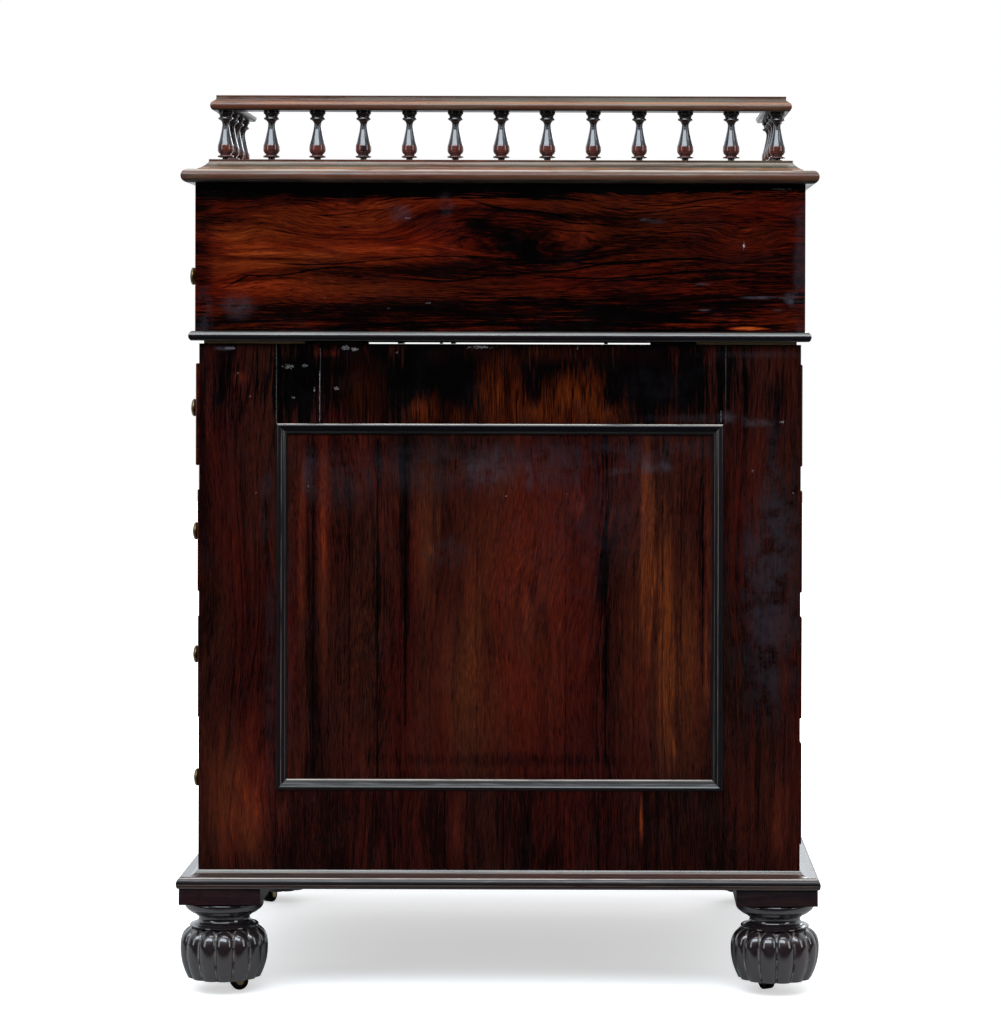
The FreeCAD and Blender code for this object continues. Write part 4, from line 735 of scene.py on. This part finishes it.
# turnedWood's bands: slate on the vase is a painted reflection and slate at the ring a painted
# highlight; black under the rail and at the foot is painted shade
turnedWood = rosewood(
    "turnedWood", "z", "black", 0.62, depth=0.7, shine=0.1, coat=1.0, coatRough=0.09, rough=0.45,
    lines=0.3, coatIor=1.7, bands=[
        (834.0, 9.0, 0.55, "slate"), (820.2, 5.3, 0.85, "bulb"),
        (813.9, 0.9, 0.6, "bulb"), (850.2, 0.7, 0.6, "slate"),
        (854.6, 3.6, 0.9, "black"), (811.4, 1.3, 0.9, "black")])
blockWood = rosewood("blockWood", "x", "black", 0.72, depth=0.6, coat=0.3)
polishedBrass = brass("polishedBrass", (0.46, 0.31, 0.11), 0.5)
knobBrass = brass("knobBrass", (0.21, 0.155, 0.075), 0.8)
dullBrass = brass("dullBrass", (0.42, 0.29, 0.11), 0.8)
paleBrass = brass("paleBrass", (0.74, 0.60, 0.32), 0.3)
blackIron = brass("blackIron", (0.012, 0.011, 0.010), 0.1)
mahogany = liningWood("mahogany", (0.19, 0.085, 0.032), (0.34, 0.18, 0.075))
oldPine = liningWood("oldPine", (0.30, 0.19, 0.085), (0.50, 0.35, 0.18))
print("finishes mixed")

for finish, parts in (
        (plinthWood, "plinth"),
        (blockWood, "foot_blocks"),
        (pedestalVeneer, "back_frame"),
        (panelVeneer, "back_panel"),
        (panelBeadWood, "back_panel_bead"),
        (frontVeneer, "front_frame front_panel"),
        (sideVeneer, "drawer_rails dummy_side dummy_fronts box_sides pen_drawer_front"),
        (boxVeneer, "box_back"),
        (beadWood, "box_base_bead"),
        (topWood, "box_top"),
        (railWood, "gallery_rail"),
        (lidEdgeWood, "lid_edge lid_book_rest"),
        (lidVeneer, "lid_panel lid_leather"),
        (smallVeneer, "box_front dummy_small_fronts small_drawer_1_front small_drawer_2_front"),
        (oldPine, "drawer_runners base_top slide_battens"),
        (mahogany, "box_bottom pigeonhole_case pen_drawer_housing pen_drawer_tray "
                   "small_drawer_1_case small_drawer_2_case"),
        (polishedBrass, "box_lock box_hinges lid_brasses"),
        (dullBrass, "caster_plates pen_drawer_knob"),
        (knobBrass, "caster_horn_back_left caster_horn_back_right"),
        (paleBrass, "caster_horn_front_left caster_horn_front_right")):
    for part in parts.split():
        dressed(part, finish)
for number in range(1, 5):
    dressed("drawer_%d_front" % number, sideVeneer)
    dressed("drawer_%d_case" % number, mahogany)
    dressed("drawer_%d_brasses" % number, polishedBrass)
print("parts dressed")


# new pieces: turned, carved and cast work

def arcStops(stops):          # (radius, height) in millimetres, and the bow where it is an arc
    run = [Vector((stops[0][0], 0, stops[0][1]))]
    for radius, height, *bow in stops[1:]:
        start, end = run[-1], Vector((radius, 0, height))
        chord = end - start
        out = Vector((chord.z, 0, -chord.x)) * (bow[0] if bow else 0)
        cuts = max(3, round(chord.length * 1.6)) if bow else 1
        for cut in range(1, cuts + 1):
            share = cut / cuts
            run.append(start + chord * share + out * 4 * share * (1 - share))
    return run


def placed(*millimetres):
    return Matrix.Translation([value / 1000 for value in millimetres])


def turnedMesh(name, stops, steps):
    bm = bmesh.new()
    points = [bm.verts.new(point / 1000) for point in arcStops(stops)]
    edges = [bm.edges.new(pair) for pair in zip(points, points[1:])]
    bmesh.ops.spin(bm, geom=points + edges, cent=(0, 0, 0), axis=(0, 0, 1), dvec=(0, 0, 0),
                   angle=math.tau, steps=steps, use_merge=True, use_duplicate=False)
    bmesh.ops.remove_doubles(bm, verts=bm.verts, dist=1e-6)
    bmesh.ops.recalc_face_normals(bm, faces=bm.faces)
    mesh = bpy.data.meshes.new(name)
    bm.to_mesh(mesh)
    bm.free()
    return mesh


def addCopy(bm, mesh, place, slotIndex=0):
    oldVerts, oldFaces = set(bm.verts), set(bm.faces)
    bm.from_mesh(mesh)
    moved = [vert for vert in bm.verts if vert not in oldVerts]
    bmesh.ops.transform(bm, matrix=place, space=Matrix(), verts=moved)
    for face in bm.faces:
        if face not in oldFaces:
            face.material_index = slotIndex


def makePiece(name, bm, finishes, body, nodes=(), sharp=38):
    mesh = bpy.data.meshes.new(name)
    bm.to_mesh(mesh)
    bm.free()
    for finish in finishes:
        mesh.materials.append(finish)
    for face in mesh.polygons:
        face.use_smooth = True
    mesh.set_sharp_from_angle(angle=math.radians(sharp))
    piece = bpy.data.objects.new(name, mesh)
    bpy.context.scene.collection.objects.link(piece)
    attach(piece, body)
    if nodes:
        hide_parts(*nodes)


foot = {                      # millimetres
    "lobes": 14,
    "stepsPerLobe": 22,
    "lobeReach": 0.97,            # share of a lobe's half width that is carved round
    "archFrom": 54.5,             # height where a lobe starts to close
    "archTop": 64.3,
    "lobeDepth": 4.1,
    "lobeRound": 0.62,            # 0.5 carves an ellipse across a lobe, 1 a parabola
    "lobeCrowd": 1.35,            # packs the mesh closer in the valleys
    "uncarved": (28.95, 64.5),    # within this radius, or above this height
    "sole": (15.1, 0.8),          # below this height the carving is shallower
    "waxedAndGlinting": (0.02, 0.16),        # where old wax and a painted highlight lie, from a lobe's edge
    "lobeTurn": {"back_left": 7.05, "back_right": 12.86, "front_left": 4.0, "front_right": 9.0},
    "corner": (268.75, 243.05),
    "inside": [(0, 40.4), (5.15, 40.4), (5.15, 23.1), (25.2, 23.1), (25.2, 15.1), (25.8, 14.5)],
    "melon": [(34.4, 14.5), (36.2, 15.8, 0.25), (43.05, 45.0, 0.062), (40.9, 55.5, 0.053),
              (34.0, 63.9, 0.073)],
    "neck": [(33.0, 64.5), (33.3, 65.1, 0.3), (32.6, 65.7, 0.3), (28.2, 67.6, -0.12),
             (24.6, 72.0, -0.16), (25.0, 74.6, -0.05), (27.0, 75.2, 0.2), (27.2, 76.0, 0.3),
             (26.4, 76.5), (34.4, 80.0, 0.10), (38.2, 85.2, 0.12), (36.2, 89.9, 0.20),
             (10.0, 90.0), (10.0, 102.0), (0, 102.0)],
}


def footPlace(corner):
    x, y = foot["corner"]
    return placed(x if "right" in corner else -x, y if "front" in corner else -y, 0)


def carveLobes(bm, turn):
    half = math.pi / foot["lobes"]
    span = foot["archTop"] - foot["archFrom"]
    # wear holds the old wax and painted highlight along the lobes' edges
    wear = bm.verts.layers.float.new("wear")
    for vert in bm.verts:
        radius, height = math.hypot(vert.co.x, vert.co.y) * 1000, vert.co.z * 1000
        if radius < foot["uncarved"][0] or height > foot["uncarved"][1]:
            continue
        angle = math.atan2(vert.co.y, vert.co.x) / half
        lobe = 2 * math.floor(angle / 2) + 1
        across = angle - lobe     # -1 to 1 over one lobe
        across = math.copysign(1 - (1 - abs(across)) ** foot["lobeCrowd"], across)
        closing = max(0.0, (height - foot["archFrom"]) / span)
        inside = 1 - (across / foot["lobeReach"]) ** 2 - closing ** 2
        sink = foot["lobeDepth"] * (1 - max(inside, 0.0) ** foot["lobeRound"])
        if height < foot["sole"][0]:
            sink *= foot["sole"][1]
        vert[wear] = max(0.0, 1 - abs(inside - foot["waxedAndGlinting"][0]) / foot["waxedAndGlinting"][1])
        facing = (lobe + across) * half + math.radians(turn)
        vert.co.x = (radius - sink) / 1000 * math.cos(facing)
        vert.co.y = (radius - sink) / 1000 * math.sin(facing)


def makeFeet():
    stops = foot["inside"] + foot["melon"] + foot["neck"]
    blank = turnedMesh("footBlank", stops, foot["lobes"] * foot["stepsPerLobe"])
    for corner, turn in foot["lobeTurn"].items():
        bm = bmesh.new()
        bm.from_mesh(blank)
        carveLobes(bm, turn)
        bmesh.ops.transform(bm, matrix=footPlace(corner), space=Matrix(), verts=bm.verts)
        makePiece("lobed_foot_" + corner, bm, [footWood], "base", ["bun_feet"])
    bpy.data.meshes.remove(blank)


makeFeet()
print("feet carved")


gallery = {                   # millimetres
    "seat": 810.3,
    "corner": (268.8, 244.8),
    "spacing": 44.8,
    "alongBack": 13,
    "alongSide": 3,
    "turning": [(0, 0), (3.2, 0), (3.2, 2.0), (7.2, 2.6), (8.0, 3.5, 0.25), (7.2, 4.3, 0.2),
                (5.5, 5.2, -0.1), (5.3, 5.6), (7.75, 11.8, 0.15), (6.95, 16.4, 0.06), (5.6, 21.6),
                (4.5, 26.8), (3.55, 32.0, -0.02), (3.3, 35.2, -0.03), (6.6, 39.4, -0.16),
                (7.1, 39.8), (7.35, 40.5, 0.3), (7.0, 41.3), (5.8, 41.8), (6.0, 43.4, -0.05),
                (7.3, 45.2, -0.1), (7.6, 46.2, 0.2), (7.6, 47.9), (0, 47.9)],
    "cuts": 28,
    "handmade": (0.035, 0.11, 0.07),      # how far and how fast the balusters differ in girth
}


def makeBalusters():
    one = turnedMesh("balusterBlank", gallery["turning"], gallery["cuts"])
    x, y = gallery["corner"]
    middle = (gallery["alongBack"] - 1) / 2
    spots = [((place - middle) * gallery["spacing"], -y) for place in range(gallery["alongBack"])]
    spots += [(side * x, -y + (place + 1) * gallery["spacing"])
              for side in (-1, 1) for place in range(gallery["alongSide"])]
    differ, onAcross, onAlong = gallery["handmade"]
    bm = bmesh.new()
    for across, along in spots:
        girth = 1 + differ * math.sin(across * onAcross + along * onAlong)
        place = placed(across, along, gallery["seat"]) @ Matrix.Diagonal((girth, girth, 1, 1))
        addCopy(bm, one, place)
    makePiece("turned_balusters", bm, [turnedWood], "desk_box",
              ["gallery_balusters"])
    bpy.data.meshes.remove(one)


makeBalusters()
print("balusters turned")


caster = {                    # millimetres
    "trail": 14.6,
    "axle": 8.5,
    "hub": 3.7,
    "cuts": 48,
    "turn": {"back_left": 18.0, "back_right": 120.0, "front_left": 240.0, "front_right": 75.0},
    "face": [(1.65, -4.2), (3.6, -4.2), (3.9, -3.2), (6.2, -3.2), (6.5, -4.5)],
    "tread": [(6.7, -4.9), (7.6, -4.9), (8.5, -4.2, 0.2), (8.5, 4.2), (7.6, 4.9, 0.2), (6.7, 4.9),
              (6.5, 4.5)],
    "backFace": [(6.5, 4.5), (6.2, 3.2), (3.9, 3.2), (3.6, 4.2), (1.65, 4.2), (1.65, -4.2)],
}


def makeWheels():
    stops = caster["face"] + caster["tread"] + caster["backFace"][1:]
    blank = turnedMesh("wheelBlank", stops, caster["cuts"])
    onItsEdge = Matrix.Rotation(math.radians(90), 4, "X")
    for corner, turn in caster["turn"].items():
        bm = bmesh.new()
        bm.from_mesh(blank)
        for face in bm.faces:
            middle = face.calc_center_median() * 1000
            if math.hypot(middle.x, middle.y) < caster["hub"]:
                face.material_index = 1
        place = (footPlace(corner) @ Matrix.Rotation(math.radians(turn), 4, "Z")
                 @ placed(caster["trail"], 0, caster["axle"]) @ onItsEdge)
        bmesh.ops.transform(bm, matrix=place, space=Matrix(), verts=bm.verts)
        makePiece("cast_wheel_" + corner, bm, [blackIron, dullBrass], "wheel_" + corner,
                  ["caster_wheel_" + corner])
    bpy.data.meshes.remove(blank)


makeWheels()
print("wheels cast")


knobs = {                     # millimetres
    "turning": [(0, 0), (6.6, 0), (6.6, 0.9), (5.9, 1.5, 0.3), (5.2, 1.7), (4.5, 2.3, 0.2),
                (3.5, 5.0, -0.08), (3.4, 8.4, -0.02), (4.4, 10.7, -0.14), (7.3, 11.9, -0.08),
                (8.2, 12.4, 0.2), (8.8, 13.7, 0.15), (7.9, 15.1, 0.14), (7.1, 15.6), (6.8, 15.4),
                (4.6, 16.2, 0.1), (4.3, 16.0), (1.2, 16.8, 0.08), (0, 16.8)],
    "cuts": 40,
    "aside": 172.0,
    "outside": 291.4,
    "ajar": (3.4, 1.5, 1.0, 0.0),
    "openingMiddle": (562.35, 439.25, 316.15, 193.05),
    "above": 5.0,
    "penPlace": (-295.0, -179.7, 698.4),
}
escutcheon = {                # millimetres
    "above": 20.25,
    "turning": [(1.5, -0.8), (6.5, -0.8), (6.5, 0.15), (6.2, 0.4), (5.6, 0.4), (5.25, 0.2),
                (1.5, 0.2), (1.5, -0.8)],
    "eye": 1.6,                   # everything within this radius is the eye's edge
    "slot": (0.825, 5.0),         # half width, and how far down it reaches
    "cuts": 40,
}
lock = {                      # millimetres
    "size": (8.0, 44.0, 30.0),    # through, across, up
    "inward": 20.0,
    "top": 43.25,                 # above the middle of the drawer's opening
    "edge": 0.7,
    "screws": [(-16, -9), (16, -9), (-16, 9), (16, 9)],
    "screwTurning": [(0, -0.6), (2.3, -0.6), (2.3, -0.1), (1.9, 0.25, 0.1), (0, 0.45, 0.05)],
    "screwCuts": 24,
    "screwSlot": (0.28, 0.5),     # half width, depth
    "turns": (20, 75, -40, 10),
}
facingOut = Matrix(((0, 0, -1), (-1, 0, 0), (0, 1, 0))).to_4x4()      # z out of the drawers' side


def escutcheonMesh():
    blank = turnedMesh("escutcheonBlank", escutcheon["turning"], escutcheon["cuts"])
    half, drop = escutcheon["slot"]
    for vert in blank.vertices:   # the eye's lower edge goes out to the slot's sides and foot
        x, y = vert.co.x * 1000, vert.co.y * 1000
        if math.hypot(x, y) < escutcheon["eye"] and abs(x) < half and y < 0:
            vert.co.xy = vert.co.xy * min(half / abs(x) if x else math.inf, drop / -y)
    return blank


def screwMesh():
    blank = turnedMesh("screwBlank", lock["screwTurning"], lock["screwCuts"])
    half, deep = (value / 1000 for value in lock["screwSlot"])
    bm = bmesh.new()
    bm.from_mesh(blank)
    for side in (-half, half):    # the slot's two edges, then its floor pushed down
        bmesh.ops.bisect_plane(bm, geom=bm.verts[:] + bm.edges[:] + bm.faces[:], dist=1e-7,
                               plane_co=(0, side, 0), plane_no=(0, 1, 0))
    strip = [face for face in bm.faces
             if abs(face.calc_center_median().y) < half and face.normal.z > 0.5]
    floor = bmesh.ops.extrude_face_region(bm, geom=strip)["geom"]
    bmesh.ops.delete(bm, geom=strip, context="FACES")
    sunk = [vert for vert in floor if isinstance(vert, bmesh.types.BMVert)]
    bmesh.ops.translate(bm, vec=(0, 0, -deep), verts=sunk)
    bm.to_mesh(blank)
    bm.free()
    return blank


def makeBrasswork():
    knobBlank = turnedMesh("knobBlank", knobs["turning"], knobs["cuts"])
    plate, screw = escutcheonMesh(), screwMesh()
    deep, wide, high = lock["size"]
    upright = Matrix.Rotation(math.radians(90), 4, "Y")
    for number, (middle, ajar) in enumerate(zip(knobs["openingMiddle"], knobs["ajar"]), 1):
        face = -knobs["outside"] - ajar
        inside, lockMiddle = face + lock["inward"], middle + lock["top"] - high / 2
        bm = bmesh.new()
        bmesh.ops.create_cube(bm, size=0.001)
        bmesh.ops.scale(bm, vec=(deep, wide, high), verts=bm.verts)
        bmesh.ops.bevel(bm, geom=bm.edges[:], offset=lock["edge"] / 1000, segments=2, profile=0.5,
                        affect="EDGES", material=-1)
        bmesh.ops.transform(bm, matrix=placed(inside, 0, lockMiddle), space=Matrix(),
                            verts=bm.verts)
        for (across, up), turn in zip(lock["screws"], lock["turns"]):
            addCopy(bm, screw, placed(inside + deep / 2, across, lockMiddle + up) @ upright
                    @ Matrix.Rotation(math.radians(turn), 4, "Z"))
        for side in (-knobs["aside"], knobs["aside"]):
            addCopy(bm, knobBlank, placed(face, side, middle + knobs["above"]) @ facingOut, 1)
        addCopy(bm, plate, placed(face, 0, middle + escutcheon["above"]) @ facingOut)
        makePiece("drawer_%d_knobs_and_lock" % number, bm, [dullBrass, knobBrass],
                  "drawer_%d" % number, ["drawer_%d_brasses" % number])
    bm = bmesh.new()
    addCopy(bm, knobBlank, placed(*knobs["penPlace"]) @ facingOut)
    makePiece("pen_drawer_pull", bm, [knobBrass], "pen_drawer", ["pen_drawer_knob"])
    for blank in (knobBlank, plate, screw):
        bpy.data.meshes.remove(blank)


makeBrasswork()
print("knobs, escutcheons and locks fitted")


slip = {                      # a thin slip under the sliding box, millimetres
    "half": 262.0,
    "span": (-256.0, -234.0),
    "under": (632.9, 634.2),
    "stubs": [(-96.9, 5.6), (-57.8, 2.2), (-46.1, 4.0), (102.4, 3.6)],      # across, width
    "stubFoot": 631.65,
}


def makeSlip():
    bm = bmesh.new()
    low, high = slip["under"]
    near, far = slip["span"]
    strips = [(0, slip["half"] * 2, low)] + [(*stub, slip["stubFoot"]) for stub in slip["stubs"]]
    for across, wide, floor in strips:
        place = (placed(across, (near + far) / 2, (high + floor) / 2)
                 @ Matrix.Diagonal((wide, far - near, high - floor, 1)))
        bmesh.ops.create_cube(bm, size=0.001, matrix=place)
    makePiece("box_slip", bm, [blockWood], "desk_box")


makeSlip()
print("slip glued under the box")


hide = {                      # the writing surface, millimetres
    "half": 245.7,
    "span": (52.0, 332.2),        # from and to, down the slope from the hinge
    "thick": 1.0,
    "hinge": (0, -90.0, 810.3),
    "slope": 14.21,
    "cuts": (72, 42),
    "edge": 0.35,
    "dent": 0.12,
    "dentWaves": (31, 43, 1.3),   # across, down, and where they start
    "fillets": [                  # gilt lines: in from the edge, half width
        (5.0, 0.40), (6.6, 0.20), (17.4, 0.20), (19.0, 0.40), (44.0, 0.25)],
    "roll": (12.0, 3.4, 9.0),     # the tooled band: in from the edge, half width, repeat
    "handled": (60.0, 190, 90),   # below the middle, half width, half height
    "giltLeft": (70.0, 4.0, 0.7, 0.36, 0.50),     # scale, detail, roughness, low, high
    "stains": (26.0, 4.0, 0.65, 0.58, 0.72),
    "colour": (0.009, 0.030, 0.015),
    "worn": (0.030, 0.045, 0.020),
    "stained": (0.006, 0.008, 0.006),
    "creased": (0.003, 0.004, 0.003),
    "gilt": (0.62, 0.42, 0.15),
}


def tooling(bench, across, down):     # gilt lines and the tooled band along the edges
    near, far = hide["span"]
    inX, inY = hide["half"] - abs(across), (far - near) / 2 - abs(down)
    inward = inX.does("MINIMUM", inY)
    gilt = 0.0
    for place, half in hide["fillets"]:
        gilt = bench.fade(abs(inward - place), half, half + 0.18) + gilt
    place, half, repeat = hide["roll"]
    along = bench.mix(inX.does("LESS_THAN", inY), across, down)
    phase = abs((along * (1 / repeat)).does("FRACT") - 0.5) * 2.0
    off = abs(inward - place)
    lozenge = bench.fade(abs(off * (1 / half) + phase - 0.85), 0.05, 0.12)
    pearl = bench.fade(bench.reach((1.0 - phase) * (repeat / 2), off), 0.75, 0.95)
    dot = bench.fade(bench.reach(phase * (repeat / 2), off), 0.55, 0.75)
    band = bench.fade(off, half, half * 1.05)
    return ((lozenge + pearl + dot) * band + gilt).does("MINIMUM", 1.0)


def tooledLeather():
    material, bench = newMaterial("tooledLeather")
    where = bench.put("ShaderNodeUVMap", uv_map="hide")
    across = bench.part(where, "x") * 1000
    down = bench.part(where, "y") * 1000 - sum(hide["span"]) / 2
    gilt = tooling(bench, across, down)
    shown = gilt * bench.blotches(where, *hide["giltLeft"])
    cells = bench.put("ShaderNodeTexVoronoi", {"Vector": where, "Scale": 620.0}, out="Distance",
                      feature="DISTANCE_TO_EDGE")
    creases = bench.ease(cells, 0.0, 0.16)
    broad = bench.noise(where, 9.0, 3.0, 0.6)
    below, wide, high = hide["handled"]
    hands = bench.reach(across * (1 / wide), (down - below) * (1 / high))
    handled = bench.fade(hands, 0.3, 1.2) * bench.ease(broad, 0.35, 0.70)
    colour = bench.tint(handled * 0.8, hide["colour"], hide["worn"])
    stains = bench.blotches(where, *hide["stains"])
    colour = bench.tint(stains * 0.6, colour, hide["stained"])
    colour = bench.tint(creases, bench.tint(0.6, colour, hide["creased"]), colour)
    colour = bench.tint(shown, colour, hide["gilt"])
    height = creases * 0.35 - gilt * 1.2 + broad * 1.5
    bench.surface({
        "Base Color": colour, "Metallic": shown * 0.9, "Specular IOR Level": 0.4,
        "Roughness": 0.50 - handled * 0.14 - shown * 0.12,
        "Normal": bench.bump(height, 0.45, 0.00025)})
    return material


def makeLeather():
    bm = bmesh.new()
    low, high = hide["span"]
    bmesh.ops.create_grid(bm, x_segments=hide["cuts"][0], y_segments=hide["cuts"][1], size=0.001)
    bmesh.ops.scale(bm, vec=(hide["half"], (high - low) / 2, 1), verts=bm.verts)
    bmesh.ops.translate(bm, vec=(0, (low + high) / 2000, 0), verts=bm.verts)
    laid = bm.loops.layers.uv.new("hide")
    for face in bm.faces:
        for loop in face.loops:
            loop[laid].uv = loop.vert.co.xy
    rim = {vert for edge in bm.edges if edge.is_boundary for vert in edge.verts}
    onAcross, onDown, start = hide["dentWaves"]
    for vert in bm.verts:         # eased down at the edge, dented by use elsewhere
        wave = math.sin(vert.co.x * onAcross) * math.sin(vert.co.y * onDown + start) * 0.5 - 0.5
        vert.co.z = (-hide["edge"] if vert in rim else wave * hide["dent"]) / 1000
    walls = bmesh.ops.extrude_edge_only(bm, edges=[e for e in bm.edges if e.is_boundary])["geom"]
    for vert in (part for part in walls if isinstance(part, bmesh.types.BMVert)):
        vert.co.z = -hide["thick"] / 1000
    bmesh.ops.holes_fill(bm, edges=[edge for edge in bm.edges if edge.is_boundary], sides=0)
    bmesh.ops.recalc_face_normals(bm, faces=bm.faces)
    slope = placed(*hide["hinge"]) @ Matrix.Rotation(-math.radians(hide["slope"]), 4, "X")
    bmesh.ops.transform(bm, matrix=slope, space=Matrix(), verts=bm.verts)
    makePiece("tooled_leather", bm, [tooledLeather()], "slope_lid", ["lid_leather"])


makeLeather()
print("leather laid")
